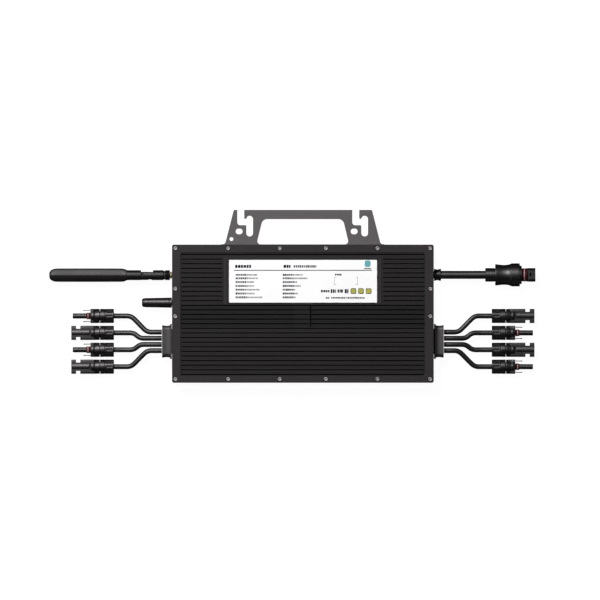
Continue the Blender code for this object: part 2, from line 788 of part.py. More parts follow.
def build_bracket():
    half_x, top = BRACKET_HALF_X, BRACKET_Y[1]
    root_x, root_y = EAR_ROOT
    corners = [
        (-half_x, BRACKET_Y[0], 0.002),
        (half_x, BRACKET_Y[0], 0.002),
        (half_x, root_y, 0.0004),
        (root_x, root_y, 0.0035),
        (EAR_TIP_X, top, 0.0018),
        (-EAR_TIP_X, top, 0.0018),
        (-root_x, root_y, 0.0035),
        (-half_x, root_y, 0.0004),
    ]
    plate = add_object("mounting_bracket", prism(filleted(corners), 0.0, BRACKET_THICKNESS), GREY_STEEL)
    low, high = -CUT_PAST, BRACKET_THICKNESS + CUT_PAST
    openings = bmesh.new()
    for outline in (
        hook_notch(0.0),
        hook_notch(HOOK_SHIFT),
        filleted(HANDLE_CORNERS, 4),
        oblong_hole(0.0),
        oblong_hole(HOOK_SHIFT),
        circle(EARTH_HOLE, EARTH_HOLE_RADIUS, HOLE_SIDES),
    ):
        add_loft(openings, [lifted(outline, low), lifted(outline, high)])
    for place in bracket_screw_places():
        add_loft(openings, [
            lifted(circle(place, radius, HOLE_SIDES), height)
            for radius, height in (
                (BRACKET_SEAT_RADIUS, low),
                (BRACKET_SCREW_HOLE, BRACKET_SEAT_TOP),
                (BRACKET_SCREW_HOLE, high),
            )
        ])
    boolean(plate, openings)


def build_bracket_screws():
    for number, place in enumerate(bracket_screw_places(), 1):
        shape = loft([
            lifted(circle((0.0, 0.0), radius, HOLE_SIDES), height)
            for radius, height in BRACKET_SCREW_PROFILE
        ])
        add_object(f"bracket_screw_{number}", shape, ZINC, (*place, 0.0))


def build_pv_gland(name, side):
    """A block that four leads leave, with a flange on the case and a spigot through its wall."""
    place = (side * (CASE_HALF_X + GAP), GLAND_Y, PORT_HEIGHT)
    add_object(name, loft(box_rings(side, GLAND_SECTIONS)), BLACK_PLASTIC, place)


def build_pv_cables():
    for number in range(1, 9):
        side = -1 if number <= 4 else 1
        row = (number - 1) % 4
        route_shape = OUTER_LEAD_ROUTE if row in (0, 3) else INNER_LEAD_ROUTE
        start, end = LEAD_EXIT_Y[row], PLUG_Y[row]
        route = [(side * x, start + share * (end - start), z) for x, share, z in route_shape]
        cord(f"pv_cable_{number}", route, LEAD_DIAMETER, 2, CABLE_JACKET)


def build_pv_plug(number):
    side = -1 if number <= 4 else 1
    y = PLUG_Y[(number - 1) % 4]
    nut = turned(PLUG_NUT_PROFILE, PLUG_SIDES, side)
    add_object(f"pv_plug_nut_{number}", nut, PLUG_PLASTIC, (side * PLUG_NUT_X, y, PLUG_HEIGHT))
    has_rod = number in ROD_PLUGS
    place = (side * PLUG_BODY_X, y, PLUG_HEIGHT)
    end = ROD_HOUSING_END if has_rod else SOCKET_HOUSING_END
    edge_corner, corner = HOUSING_CORNERS
    edge_section = (HOUSING_HALF_Y - HOUSING_EDGE, HOUSING_HALF_Z - HOUSING_EDGE, edge_corner)
    section = (HOUSING_HALF_Y, HOUSING_HALF_Z, corner)
    housing = box_rings(side, (
        (HOUSING_START, *edge_section),
        (HOUSING_START + HOUSING_EDGE, *section),
        (end - HOUSING_EDGE, *section),
        (end, *edge_section),
    ))
    body = add_object(f"pv_plug_body_{number}", loft(housing), PLUG_PLASTIC, place)
    boolean(body, turned(PLUG_SPIGOT_PROFILE, PLUG_SIDES, side), "UNION")
    if has_rod:
        boolean(body, turned(ROD_PROFILE, PLUG_SIDES, side), "UNION")
        for name, edge in (("upper", 1), ("lower", -1)):
            build_latch(f"pv_latch_{number}_{name}", side, edge, y)
        return
    boolean(body, turned(SOCKET_BORE_PROFILE, PLUG_SIDES, side))
    notches = bmesh.new()
    for edge in (-1, 1):
        near, far = PLUG_RADIUS - NOTCH_DEPTH, PLUG_RADIUS + 2 * CUT_PAST
        outline = [(side * NOTCH_X[0], edge * near), (side * NOTCH_X[1], edge * near),
                   (side * NOTCH_X[1], edge * far), (side * NOTCH_X[0], edge * far)]
        add_loft(notches, [lifted(outline, -NOTCH_REACH), lifted(outline, NOTCH_REACH)])
    boolean(body, notches)


def build_latch(name, side, edge, y):
    """A thin arm beside the rod, with its barb outwards; it turns about its root."""
    points = [(side * x, edge * across) for x, across in LATCH_OUTLINE]
    shape = prism(points, -LATCH_HALF_WIDTH, LATCH_HALF_WIDTH)
    place = (side * LATCH_ROOT_X, y + edge * LATCH_OFFSET, PLUG_HEIGHT)
    add_object(name, shape, PLUG_PLASTIC, place)


def build_ac_lead():
    relief = turned(STRAIN_RELIEF_PROFILE, ROUND_SIDES)
    add_object("ac_strain_relief", relief, BLACK_PLASTIC, (CASE_HALF_X + GAP, AC_Y, PORT_HEIGHT))
    cord("ac_cable", AC_ROUTE, AC_DIAMETER, 4, CABLE_JACKET)
    body = turned(AC_BODY_PROFILE, ROUND_SIDES)
    add_object("ac_plug_body", body, PLUG_PLASTIC, (AC_PLUG_X, AC_Y, PORT_HEIGHT))
    ring = turned(AC_RING_PROFILE, RING_SIDES, closed=True)
    add_object("ac_coupling_ring", ring, PLUG_PLASTIC, (AC_RING_X, AC_Y, PORT_HEIGHT))
    seal = turned(AC_SEAL_PROFILE, ROUND_SIDES, closed=True)
    add_object("ac_seal", seal, SEAL_RED, (AC_INSERT_X, AC_Y, PORT_HEIGHT))
    front = turned(AC_INSERT_PROFILE, ROUND_SIDES)
    insert = add_object("ac_plug_insert", front, BLACK_PLASTIC, (AC_INSERT_X, AC_Y, PORT_HEIGHT))
    flats = bmesh.new()
    outline = rounded_box(AC_FLAT_X, (-AC_FLAT_REACH, AC_FLAT_REACH), 0.001)
    for side in (-1, 1):
        add_loft(flats, [lifted(outline, side * height) for height in (AC_INSERT_FLAT, AC_FLAT_REACH)])
    boolean(insert, flats)
    boolean(insert, turned(AC_NECK_PROFILE, ROUND_SIDES), "UNION")
    boolean(insert, turned(AC_SOCKET_PROFILE, ROUND_SIDES))


def build_antenna_mount():
    wall = -CASE_HALF_X - GAP
    socket = turned(ANTENNA_SOCKET_PROFILE, HOLE_SIDES, -1)
    add_object("antenna_socket", socket, BRASS, (wall, ANTENNA_Y, PORT_HEIGHT))
    nut = turned(ANTENNA_NUT_PROFILE, PLUG_SIDES, -1, closed=True)
    add_object("antenna_nut", nut, ANTENNA_BLACK, (-ANTENNA_NUT_X, ANTENNA_Y, PORT_HEIGHT))
    stub = turned(STUB_PROFILE, PLUG_SIDES, -1)
    add_object("stub_antenna", stub, ANTENNA_BLACK, (wall, STUB_Y, PORT_HEIGHT))


def build_antenna_base():
    """A rod with a fork at its end, cut lower on +Y so that the blade can fold that way."""
    start, end = BASE_X
    groove = BASE_GROOVE_END - start
    rod = turned((
        (0.0, BASE_GROOVE_RADIUS),
        (groove - GAP, BASE_GROOVE_RADIUS),
        (groove, ANTENNA_RADIUS),
        (end - start + CUT_PAST, ANTENNA_RADIUS),
    ), ROUND_SIDES, -1)
    base = add_object("antenna_base", rod, ANTENNA_BLACK, (-start, ANTENNA_Y, PORT_HEIGHT))
    wide = ANTENNA_RADIUS + CUT_PAST
    pin = (start - PIN_X, -PIN_DROP)
    fork = [(CUT_PAST, wide), (start - FORK_X, wide), (start - FORK_X, FORK_NOTCH - 0.0001)]
    fork += arc(pin, FORK_END_RADIUS, 90, 180, 5)
    fork += [(start - end, -PIN_DROP - FORK_HEEL), (start - end, -wide), (CUT_PAST, -wide)]
    boolean(base, prism(fork, -wide, wide), "INTERSECT")
    slot = rounded_box((start - end - 2 * CUT_PAST, start - FORK_X), (-wide, wide), 0.0001, 1)
    boolean(base, prism(slot, -FORK_SLOT, FORK_SLOT))
    boolean(base, prism(circle(pin, PIN_HOLE_RADIUS, HOLE_SIDES), -wide, wide))
    hinge = prism(circle((0.0, 0.0), PIN_RADIUS, HOLE_SIDES), -PIN_HALF_LENGTH, PIN_HALF_LENGTH)
    add_object("antenna_hinge_pin", hinge, ZINC, (-PIN_X, ANTENNA_Y - PIN_DROP, PORT_HEIGHT))


def build_antenna_blade():
    """The arm and flat blade beyond the pin, with a tongue that fits between the fork's ears."""
    rings = []
    for along, wide, thick in BLADE_SECTIONS:
        turns = [math.tau * i / ROUND_SIDES for i in range(ROUND_SIDES)]
        rings.append([
            (PIN_X - along, PIN_DROP + wide * math.cos(t), thick * math.sin(t)) for t in turns
        ])
    place = (-PIN_X, ANTENNA_Y - PIN_DROP, PORT_HEIGHT)
    blade = add_object("antenna_blade", loft(rings), ANTENNA_BLACK, place)
    inside = PIN_X - ARM_X - TONGUE_LAP
    tongue = [(inside, TONGUE_RADIUS), (inside, -TONGUE_RADIUS)]
    tongue += arc((0.0, 0.0), TONGUE_RADIUS, -90, 90, 8)
    boolean(blade, prism(tongue, -TONGUE_HALF, TONGUE_HALF), "UNION")
    boolean(blade, prism(circle((0.0, 0.0), PIN_HOLE_RADIUS, HOLE_SIDES), -0.01, 0.01))


def placed_box(place, half, corner):
    x, y = place
    half_x, half_y = half
    return rounded_box((x - half_x, x + half_x), (y - half_y, y + half_y), corner)


def build_electronics():
    board = centred_box(*BOARD_HALF, BOARD_CORNER)
    add_object("main_board", prism(board, *BOARD_Z), BOARD_GREEN)
    for name, side in (("left", -1), ("right", 1)):
        block = placed_box((side * TRANSFORMER_X, TRANSFORMER_Y), TRANSFORMER_HALF, TRANSFORMER_CORNER)
        add_object(f"power_transformer_{name}", prism(block, *TRANSFORMER_Z), CORE_FERRITE)
    add_object("grid_relay", prism(placed_box(RELAY_PLACE, RELAY_HALF, RELAY_CORNER), *RELAY_Z), RELAY_BLUE)
    can = (
        (0.0, CAPACITOR_RADIUS - CAPACITOR_EDGE),
        (CAPACITOR_EDGE, CAPACITOR_RADIUS),
        (CAPACITOR_LENGTH - CAPACITOR_EDGE, CAPACITOR_RADIUS),
        (CAPACITOR_LENGTH, CAPACITOR_RADIUS - CAPACITOR_EDGE),
    )
    height = BOARD_Z[1] + GAP + CAPACITOR_RADIUS
    add_object("bus_capacitor", turned(can, PLUG_SIDES), CAN_SLEEVE, (*CAPACITOR_PLACE, height))


def main():
    clear_scene()
    build_rear_tray()
    build_cover()
    build_gasket()
    build_label()
    build_bracket()
    build_bracket_screws()
    build_pv_gland("pv_gland_left", -1)
    build_pv_gland("pv_gland_right", 1)
    build_pv_cables()
    for number in range(1, 9):
        build_pv_plug(number)
    build_ac_lead()
    build_antenna_mount()
    build_antenna_base()
    build_antenna_blade()
    build_electronics()


main()
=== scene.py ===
"""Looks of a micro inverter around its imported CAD: case, bracket, solar leads, AC lead, antennas.

Metres, +Z up, in the CAD's frame. The case lies on its back: X runs along the case, Y points to the
bracket. `side` is -1 for pieces on the case's -X end and +1 for those on its +X end.
"""

import json
import math
import random

import bmesh
import bpy
from mathutils import Matrix, Vector

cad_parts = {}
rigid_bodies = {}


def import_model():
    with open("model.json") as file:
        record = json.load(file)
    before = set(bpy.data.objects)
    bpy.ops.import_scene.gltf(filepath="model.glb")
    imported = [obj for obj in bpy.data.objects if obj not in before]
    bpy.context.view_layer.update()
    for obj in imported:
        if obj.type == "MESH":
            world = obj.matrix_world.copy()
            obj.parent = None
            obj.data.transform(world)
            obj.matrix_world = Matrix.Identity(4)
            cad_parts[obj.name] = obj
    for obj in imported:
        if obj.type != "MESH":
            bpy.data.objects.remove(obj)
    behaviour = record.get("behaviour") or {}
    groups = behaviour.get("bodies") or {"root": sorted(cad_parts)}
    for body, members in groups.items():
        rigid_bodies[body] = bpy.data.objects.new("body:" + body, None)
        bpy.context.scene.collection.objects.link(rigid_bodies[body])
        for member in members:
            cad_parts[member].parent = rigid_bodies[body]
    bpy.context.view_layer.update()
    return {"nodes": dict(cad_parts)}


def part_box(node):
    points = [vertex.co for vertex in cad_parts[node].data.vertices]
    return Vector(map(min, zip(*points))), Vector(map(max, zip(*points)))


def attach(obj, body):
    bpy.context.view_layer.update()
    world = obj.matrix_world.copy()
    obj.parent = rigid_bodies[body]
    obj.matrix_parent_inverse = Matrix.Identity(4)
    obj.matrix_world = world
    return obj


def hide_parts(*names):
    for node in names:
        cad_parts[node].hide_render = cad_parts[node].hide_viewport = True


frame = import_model()
nodes = frame["nodes"]

PORT_HEIGHT = 0.016
PLUG_HEIGHT = 0.0099
LEAD_DIAMETER = 0.0069
LEAD_EXIT_Y = (-0.0251, -0.0335, -0.0419, -0.0503)
PLUG_Y = (-0.0031, -0.0261, -0.0491, -0.0721)
ROD_PLUGS = (1, 3, 6, 8)
AC_DIAMETER = 0.011
AC_Y = 0.0528
ANTENNA_Y = 0.0524

# Where pieces start, as a distance along X from the middle of the case
PORT_X = 0.1783
SOLAR_NUT_X, SOLAR_PLUG_X, LATCH_X = 0.2569, 0.2772, 0.2893
AC_PLUG_X, AC_RING_X, AC_SEAL_X = 0.2480, 0.2615, 0.2980
ANTENNA_NUT_X, ANTENNA_BASE_X, PIN_X = 0.1809, 0.1872, 0.2120
# How far the antenna's pin is offset towards -Y from its socket's axis
PIN_DROP = 0.0010

# How far cutters run past a face, and how far the painted shade of the cover's sunken field runs past its
# edge
CUT_PAST, FIELD_MARGIN = 0.001, 0.0006

# Solar lead routes: distance along X, share of the way across to the plug, and height
OUTER_LEAD_ROUTE = (
    (0.1918, 0.000, 0.01600), (0.1980, 0.000, 0.01597), (0.2030, 0.000, 0.01567), (0.2060, 0.000, 0.01536),
    (0.2084, 0.010, 0.01506), (0.2108, 0.040, 0.01471), (0.2132, 0.093, 0.01433), (0.2157, 0.182, 0.01391),
    (0.2191, 0.336, 0.01330), (0.2226, 0.500, 0.01266), (0.2261, 0.664, 0.01203), (0.2295, 0.818, 0.01146),
    (0.2320, 0.907, 0.01107), (0.2344, 0.960, 0.01073), (0.2368, 0.990, 0.01044), (0.2392, 1.000, 0.01021),
    (0.2422, 1.000, 0.01000), (0.2470, 1.000, 0.00990), (0.2520, 1.000, 0.00990), (0.2566, 1.000, 0.00990),
)
INNER_LEAD_ROUTE = (
    (0.1918, 0.000, 0.01600), (0.1980, 0.000, 0.01597), (0.2030, 0.000, 0.01567), (0.2080, 0.000, 0.01512),
    (0.2124, 0.000, 0.01446), (0.2164, 0.000, 0.01378), (0.2188, 0.028, 0.01335), (0.2212, 0.116, 0.01291),
    (0.2235, 0.265, 0.01250), (0.2258, 0.500, 0.01208), (0.2281, 0.735, 0.01168), (0.2304, 0.884, 0.01131),
    (0.2328, 0.972, 0.01096), (0.2352, 1.000, 0.01064), (0.2392, 1.000, 0.01021), (0.2440, 1.000, 0.00993),
    (0.2500, 1.000, 0.00990), (0.2566, 1.000, 0.00990),
)
AC_ROUTE = [(x, AC_Y, z) for x, z in (
    (0.1816, 0.0160), (0.1860, 0.0160), (0.1905, 0.0160), (0.1950, 0.01598), (0.1998, 0.01592),
    (0.2046, 0.01584), (0.2094, 0.01577), (0.2140, 0.01573), (0.2180, 0.01572), (0.2222, 0.01573),
    (0.2268, 0.01577), (0.2316, 0.01584), (0.2364, 0.01592), (0.2410, 0.01598), (0.2455, 0.0160),
    (0.2502, 0.0160), (0.2549, 0.0160),
)]


# --- Stage

WORLD_LIGHT, FLOOR_GLOW, BACKDROP_GLOW = 0.006, 0.97, 0.9
CAMERA_PLACE, CAMERA_SPAN = (-0.0039, 0.0186, 2.0), 0.816
WHITE = (1.0, 1.0, 1.0)


def link(item):
    bpy.context.scene.collection.objects.link(item)
    return item


def make_camera():
    data = bpy.data.cameras.new("camera")
    data.type = "ORTHO"
    data.ortho_scale = CAMERA_SPAN
    camera = link(bpy.data.objects.new("camera", data))
    camera.location = CAMERA_PLACE
    bpy.context.scene.camera = camera


def add_light(name, azimuth, height, distance, size, power, colour=WHITE):
    """A soft box that looks at the origin, from an azimuth and a height in degrees."""
    data = bpy.data.lights.new(name, "AREA")
    data.shape = "RECTANGLE"
    data.size, data.size_y = size
    data.energy = power
    data.color = colour
    item = link(bpy.data.objects.new(name, data))
    turn, rise = math.radians(azimuth), math.radians(height)
    place = Vector((math.cos(turn) * math.cos(rise), math.sin(turn) * math.cos(rise), math.sin(rise)))
    item.location = place * distance
    item.rotation_euler = place.to_track_quat("Z", "Y").to_euler()
    item.visible_camera = False


def add_node(tree, kind, inputs=None, **settings):
    """Add a node, set its properties, and give its inputs a value or a link from a socket."""
    made = tree.nodes.new(kind)
    for key, value in settings.items():
        setattr(made, key, value)
    for key, value in (inputs or {}).items():
        if isinstance(value, bpy.types.NodeSocket):
            tree.links.new(value, made.inputs[key])
        else:
            made.inputs[key].default_value = value
    return made


def ramp(tree, value, stops):
    """A grey ramp from (position, grey) stops."""
    made = add_node(tree, "ShaderNodeValToRGB", {"Fac": value})
    elements = made.color_ramp.elements
    while len(elements) < len(stops):
        elements.new(1.0)
    for element, (position, grey) in zip(elements, stops):
        element.position = position
        element.color = (grey, grey, grey, 1.0)
    return made.outputs["Color"]


def make_world():
    world = bpy.data.worlds.new("studio")
    bpy.context.scene.world = world
    world.use_nodes = True
    light = world.node_tree.nodes["Background"]
    light.inputs["Color"].default_value = (*WHITE, 1.0)
    light.inputs["Strength"].default_value = WORLD_LIGHT


def add_stage(name, shape, glow):
    """A plain white surface that isn't part of the object, bright enough to lose its shadows."""
    mesh = bpy.data.meshes.new(name)
    shape.to_mesh(mesh)
    shape.free()
    made = bpy.data.materials.new(name)
    made.use_nodes = True
    shader = made.node_tree.nodes["Principled BSDF"]
    shader.inputs["Base Color"].default_value = (0.12, 0.12, 0.12, 1.0)
    shader.inputs["Roughness"].default_value = 0.9
    shader.inputs["Specular IOR Level"].default_value = 0.0
    shader.inputs["Emission Color"].default_value = (*WHITE, 1.0)
    shader.inputs["Emission Strength"].default_value = glow
    mesh.materials.append(made)
    item = link(bpy.data.objects.new(name, mesh))
    item.visible_glossy = False
    return item


def make_stage():
    floor = bmesh.new()
    bmesh.ops.create_grid(floor, x_segments=8, y_segments=8, size=5.0)
    add_stage("floor", floor, FLOOR_GLOW).location = (0.0, 0.0, -0.0004)
    dome = bmesh.new()
    bmesh.ops.create_icosphere(dome, subdivisions=5, radius=4.6)
    backdrop = add_stage("backdrop", dome, BACKDROP_GLOW)
    backdrop.visible_shadow = False
    backdrop.visible_diffuse = False


make_camera()
make_world()
make_stage()
bpy.context.scene.view_settings.view_transform = "Standard"
add_light("key", 120.0, 56.0, 3.0, (1.33, 0.83), 120.0, (1.0, 0.955, 0.965))
add_light("fill_left", 185.0, 13.0, 1.8, (0.9, 0.4), 3.0)
add_light("fill_right", -5.0, 13.0, 1.8, (0.9, 0.4), 3.0)
add_light("fill_front", -90.0, 13.0, 1.8, (1.4, 0.4), 0.8)


# --- Case sizes that finishes and shapes share

CASE_LOW, CASE_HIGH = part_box("finned_cover")
CASE_HALF_X, CASE_HALF_Y, CASE_TOP = CASE_HIGH.x, CASE_HIGH.y, CASE_HIGH.z
CASE_CORNER = 0.0027
COVER_BOTTOM = CASE_LOW.z
FIELD_X, FIELD_Y, FIELD_TOP = 0.1668, (-0.0855, 0.0834), 0.0390
PAD_X, PAD_Y = (-0.1076, 0.1068), (0.0124, 0.0760)
GROOVE_FLOOR, GROOVE_HALF_X, GROOVE_SIDE_INNER = 0.0328, 0.1655, 0.1093
BAND_Y, BAND_TOP = (-0.0186, 0.0119), 0.0384
BRIDGE_X, BRIDGE_TOP, BRIDGE_SLIT_WIDTH = (-0.0116, 0.0097), 0.0388, 0.0017
GROOVE_COUNT, FIRST_GROOVE_Y, GROOVE_PITCH, FIN_LINE = 27, 0.0804, 0.006274, 0.54
ABOVE_CASE = CASE_TOP + CUT_PAST


# --- Finishes

GRAIN_SCALE, CLOUD_SCALE, STREAK_SCALE = 1400.0, 22.0, 90.0
SOFT_EDGE, BUMP_DEPTH = 0.00035, 0.0004
CAST_COLOUR, BLACK_PLASTIC, PALE_WEAR = (0.020, 0.0190, 0.0195), (0.0014, 0.0012, 0.0013), (0.02, 0.02, 0.02)


def finish(name, colour, roughness, metallic=0.0, *, mottle=0.12, mottle_scale=260.0, grain=0.25,
           cloud=0.10, edge_wear_and_shade=0.0, edge_wear_and_shade_colour=(0.25, 0.24, 0.24), streaks=0.0, specular=0.5, painted_depth_shade=()):
    """A coated, moulded or bare surface: cloudy colour, mottling, fine grain, worn edges, and the bracket's
    edges painted darker as shade.

    The list of (height, share of the colour's lightness) stops paints shade into the recessed field of the
    cover: the lower a surface lies, the darker it is, darkest on the groove floors.
    """
    made = bpy.data.materials.new(name)
    made.use_nodes = True
    tree = made.node_tree
    shader = tree.nodes["Principled BSDF"]
    at = add_node(tree, "ShaderNodeTexCoord").outputs["Object"]

    def noise(scale, detail, stretch=None):
        place = at
        if stretch:
            place = add_node(tree, "ShaderNodeMapping", {"Vector": at, "Scale": stretch}).outputs[0]
        return add_node(tree, "ShaderNodeTexNoise", {
            "Vector": place, "Scale": scale, "Detail": detail, "Roughness": 0.6}).outputs["Fac"]

    def maths(operation, first, second=0.0, third=0.0):
        values = {0: first, 1: second, 2: third}
        return add_node(tree, "ShaderNodeMath", values, operation=operation).outputs[0]

    def share_of(value, low, high):
        """Map a value to 0 at low and 1 at high."""
        return add_node(tree, "ShaderNodeMapRange", {
            "Value": value, "From Min": low, "From Max": high}).outputs[0]

    clouds, mottling, fine = noise(CLOUD_SCALE, 3.0), noise(mottle_scale, 2.0), noise(GRAIN_SCALE, 3.0)
    shade = maths("MULTIPLY_ADD", clouds, 2 * cloud, 1.0 - cloud)
    shade = maths("MULTIPLY", shade, maths("MULTIPLY_ADD", mottling, 2 * mottle, 1.0 - mottle))
    # Painted shade: in the cover's sunken field the colour darkens with depth, darkest in the grooves
    if painted_depth_shade:
        place = add_node(tree, "ShaderNodeSeparateXYZ", {"Vector": at}).outputs
        across = maths("LESS_THAN", maths("ABSOLUTE", place["X"]), FIELD_X + FIELD_MARGIN)
        middle, half = (FIELD_Y[0] + FIELD_Y[1]) / 2, (FIELD_Y[1] - FIELD_Y[0]) / 2
        off_middle = maths("ABSOLUTE", maths("SUBTRACT", place["Y"], middle))
        along = maths("LESS_THAN", off_middle, half + FIELD_MARGIN)
        low, high = painted_depth_shade[0][0], painted_depth_shade[-1][0]
        stops = [((z - low) / (high - low), painted_shade) for z, painted_shade in painted_depth_shade]
        painted_shade = ramp(tree, share_of(place["Z"], low, high), stops)
        change = maths("MULTIPLY", maths("MULTIPLY", across, along), maths("SUBTRACT", painted_shade, 1.0))
        shade = maths("MULTIPLY", shade, maths("ADD", 1.0, change))
    tinted = add_node(tree, "ShaderNodeMix", {
        "Factor": 1.0, 6: (*colour, 1.0), 7: shade}, data_type="RGBA", blend_type="MULTIPLY").outputs[2]
    rounded = add_node(tree, "ShaderNodeBevel", {"Radius": SOFT_EDGE}, samples=4).outputs[0]
    # Edges take another colour, broken up by the mottling: wear on most finishes, and painted shade
    # darkening the bracket's cut edges
    if edge_wear_and_shade:
        true_normal = add_node(tree, "ShaderNodeNewGeometry").outputs["Normal"]
        facing = add_node(tree, "ShaderNodeVectorMath", {0: rounded, 1: true_normal},
                          operation="DOT_PRODUCT").outputs["Value"]
        corner, broken = share_of(facing, 0.995, 0.86), share_of(mottling, 0.38, 0.66)
        edge_wear_and_shade_mask = maths("MULTIPLY", maths("MULTIPLY", corner, broken), edge_wear_and_shade)
        tinted = add_node(tree, "ShaderNodeMix", {
            "Factor": edge_wear_and_shade_mask, 6: tinted, 7: (*edge_wear_and_shade_colour, 1.0)}, data_type="RGBA").outputs[2]
    rough = maths("MULTIPLY_ADD", fine, 0.16, roughness - 0.08)
    rough = maths("MULTIPLY_ADD", clouds, 0.14, maths("SUBTRACT", rough, 0.07))
    if streaks:
        lines = noise(STREAK_SCALE, 4.0, (1.0, 40.0, 40.0))
        rough = maths("MULTIPLY_ADD", lines, streaks, maths("SUBTRACT", rough, streaks / 2))
    height = maths("MULTIPLY_ADD", fine, 0.5, mottling)
    bump = add_node(tree, "ShaderNodeBump", {
        "Height": height, "Strength": grain, "Distance": BUMP_DEPTH, "Normal": rounded}).outputs[0]
    tree.links.new(tinted, shader.inputs["Base Color"])
    tree.links.new(rough, shader.inputs["Roughness"])
    tree.links.new(bump, shader.inputs["Normal"])
    shader.inputs["Metallic"].default_value = metallic
    shader.inputs["Specular IOR Level"].default_value = specular
    return made


CAST_BLACK = finish("cast_black", CAST_COLOUR, 0.55, mottle=0.16, grain=0.35, edge_wear_and_shade=0.35,
                    edge_wear_and_shade_colour=(0.06, 0.058, 0.058), specular=0.2)
# The cover's black coat, with painted shade darkening its sunken field and grooves by depth
COVER_BLACK = finish("cover_coat_painted_depth_shade", CAST_COLOUR, 0.55, mottle=0.14, grain=0.30, edge_wear_and_shade=0.12,
                     edge_wear_and_shade_colour=(0.05, 0.048, 0.048), specular=0.17,
                     painted_depth_shade=((0.0340, 0.10), (0.0368, 0.30), (0.0384, 0.23), (0.0388, 0.33), (0.0390, 0.62),
                             (0.0397, 1.0)))
# The bracket's darker broken edges are painted shade along its cut edges
BRACKET_GREY = finish("bracket_coat", (0.083, 0.0805, 0.0815), 0.60, mottle=0.16, mottle_scale=420.0,
                      grain=0.35, edge_wear_and_shade=0.5, edge_wear_and_shade_colour=(0.04, 0.038, 0.038), specular=0.3)
ZINC = finish("zinc_plate", (0.30, 0.29, 0.29), 0.56, 0.80, mottle=0.10, grain=0.10, streaks=0.1,
              edge_wear_and_shade=0.3, edge_wear_and_shade_colour=(0.20, 0.19, 0.18))
LABEL_FILM = finish("label_film", (0.86, 0.90, 0.895), 0.42, mottle=0.01, cloud=0.015, grain=0.03)
GLAND_PLASTIC = finish("gland_plastic", (0.0100, 0.0095, 0.0097), 0.55, mottle=0.35, mottle_scale=500.0,
                       grain=0.3, edge_wear_and_shade=0.3, edge_wear_and_shade_colour=(0.03, 0.03, 0.03), specular=0.76)
PLUG_PLASTIC = finish("plug_plastic", BLACK_PLASTIC, 0.44, mottle=0.12, grain=0.12, edge_wear_and_shade=0.3,
                      edge_wear_and_shade_colour=PALE_WEAR, specular=0.66)
CABLE_JACKET = finish("cable_jacket", BLACK_PLASTIC, 0.49, mottle=0.15, mottle_scale=500.0,
                      grain=0.10, streaks=0.10, specular=0.66)
SEAL_RED = finish("seal_silicone", (0.034, 0.0018, 0.0028), 0.60, mottle=0.15, grain=0.1, specular=0.15)
# Painted highlight: pale pink on the seals' lips, standing in for the light that they catch
SEAL_LIP_PAINTED_HIGHLIGHT = finish("seal_lip_painted_highlight", (0.50, 0.30, 0.32), 0.50, mottle=0.10, grain=0.1)
LATCH_TINT = finish("latch_plastic", (0.020, 0.009, 0.010), 0.50, mottle=0.12, grain=0.12, specular=0.3)
BRASS = finish("brass", (0.30, 0.26, 0.15), 0.62, 0.80, mottle=0.08, grain=0.08, streaks=0.15)
ANTENNA_BLACK = finish("antenna_plastic", (0.0018, 0.0016, 0.0017), 0.51, mottle=0.12, grain=0.15,
                       edge_wear_and_shade=0.25, edge_wear_and_shade_colour=PALE_WEAR, specular=0.42)
KNURL_BLACK = finish("knurled_plastic", (0.0020, 0.0018, 0.0019), 0.62, mottle=0.2, grain=0.2, edge_wear_and_shade=0.2,
                     edge_wear_and_shade_colour=PALE_WEAR, specular=0.12)
RUBBER = finish("gasket_rubber_face", (0.018, 0.018, 0.018), 0.80, grain=0.2)
BOARD_GREEN = finish("board_mask", (0.015, 0.11, 0.045), 0.40, mottle=0.2, grain=0.1)
FERRITE = finish("ferrite_core", (0.05, 0.05, 0.055), 0.60, mottle=0.25, grain=0.4, edge_wear_and_shade=0.4)
SLEEVE = finish("capacitor_film", (0.02, 0.035, 0.10), 0.35, mottle=0.05, grain=0.05)
RELAY_CASE = finish("relay_plastic", (0.02, 0.06, 0.20), 0.40, mottle=0.08, grain=0.1, edge_wear_and_shade=0.3)
INK_DARK = finish("ink_dark", (0.004, 0.004, 0.005), 0.6, mottle=0.2, grain=0.03, specular=0.1)
INK_GREY = finish("ink_grey", (0.055, 0.055, 0.058), 0.6, mottle=0.2, grain=0.03, specular=0.2)
INK_TEAL = finish("ink_teal", (0.085, 0.34, 0.37), 0.5, mottle=0.15, grain=0.03)
INK_OLIVE = finish("ink_olive", (0.36, 0.37, 0.035), 0.5, mottle=0.10, grain=0.03)


# --- Shapes

def add_loft(shape, rings, closed=False):
    """Skin rings of equally many points: capped at both ends, or closed from last to first."""
    loops = [[shape.verts.new(point) for point in ring] for ring in rings]
    pairs = list(zip(loops, loops[1:]))
    if closed:
        pairs.append((loops[-1], loops[0]))
    for lower, upper in pairs:
        for i in range(len(lower)):
            shape.faces.new((lower[i - 1], lower[i], upper[i], upper[i - 1]))
    if not closed:
        shape.faces.new(loops[0])
        shape.faces.new(loops[-1])


def loft(rings, closed=False):
    shape = bmesh.new()
    add_loft(shape, rings, closed)
    return shape


def lifted(outline, height):
    return [(x, y, height) for x, y in outline]


def add_prism(shape, outline, low, high):
    add_loft(shape, [lifted(outline, low), lifted(outline, high)])


def prism(outline, low, high):
    shape = bmesh.new()
    add_prism(shape, outline, low, high)
    return shape


def arc(centre, radius, start, end, steps):
    """Points on an arc, with its angles in degrees."""
    turns = [math.radians(start + (end - start) * i / steps) for i in range(steps + 1)]
    return [(centre[0] + radius * math.cos(t), centre[1] + radius * math.sin(t)) for t in turns]


def circle(centre, radius, sides=32):
    return arc(centre, radius, 0.0, 360.0, sides)[:-1]


def discs(centre, sections, sides=28):
    """Rings about an upright axis, from (radius, height)."""
    return [lifted(circle(centre, radius, sides), height) for radius, height in sections]


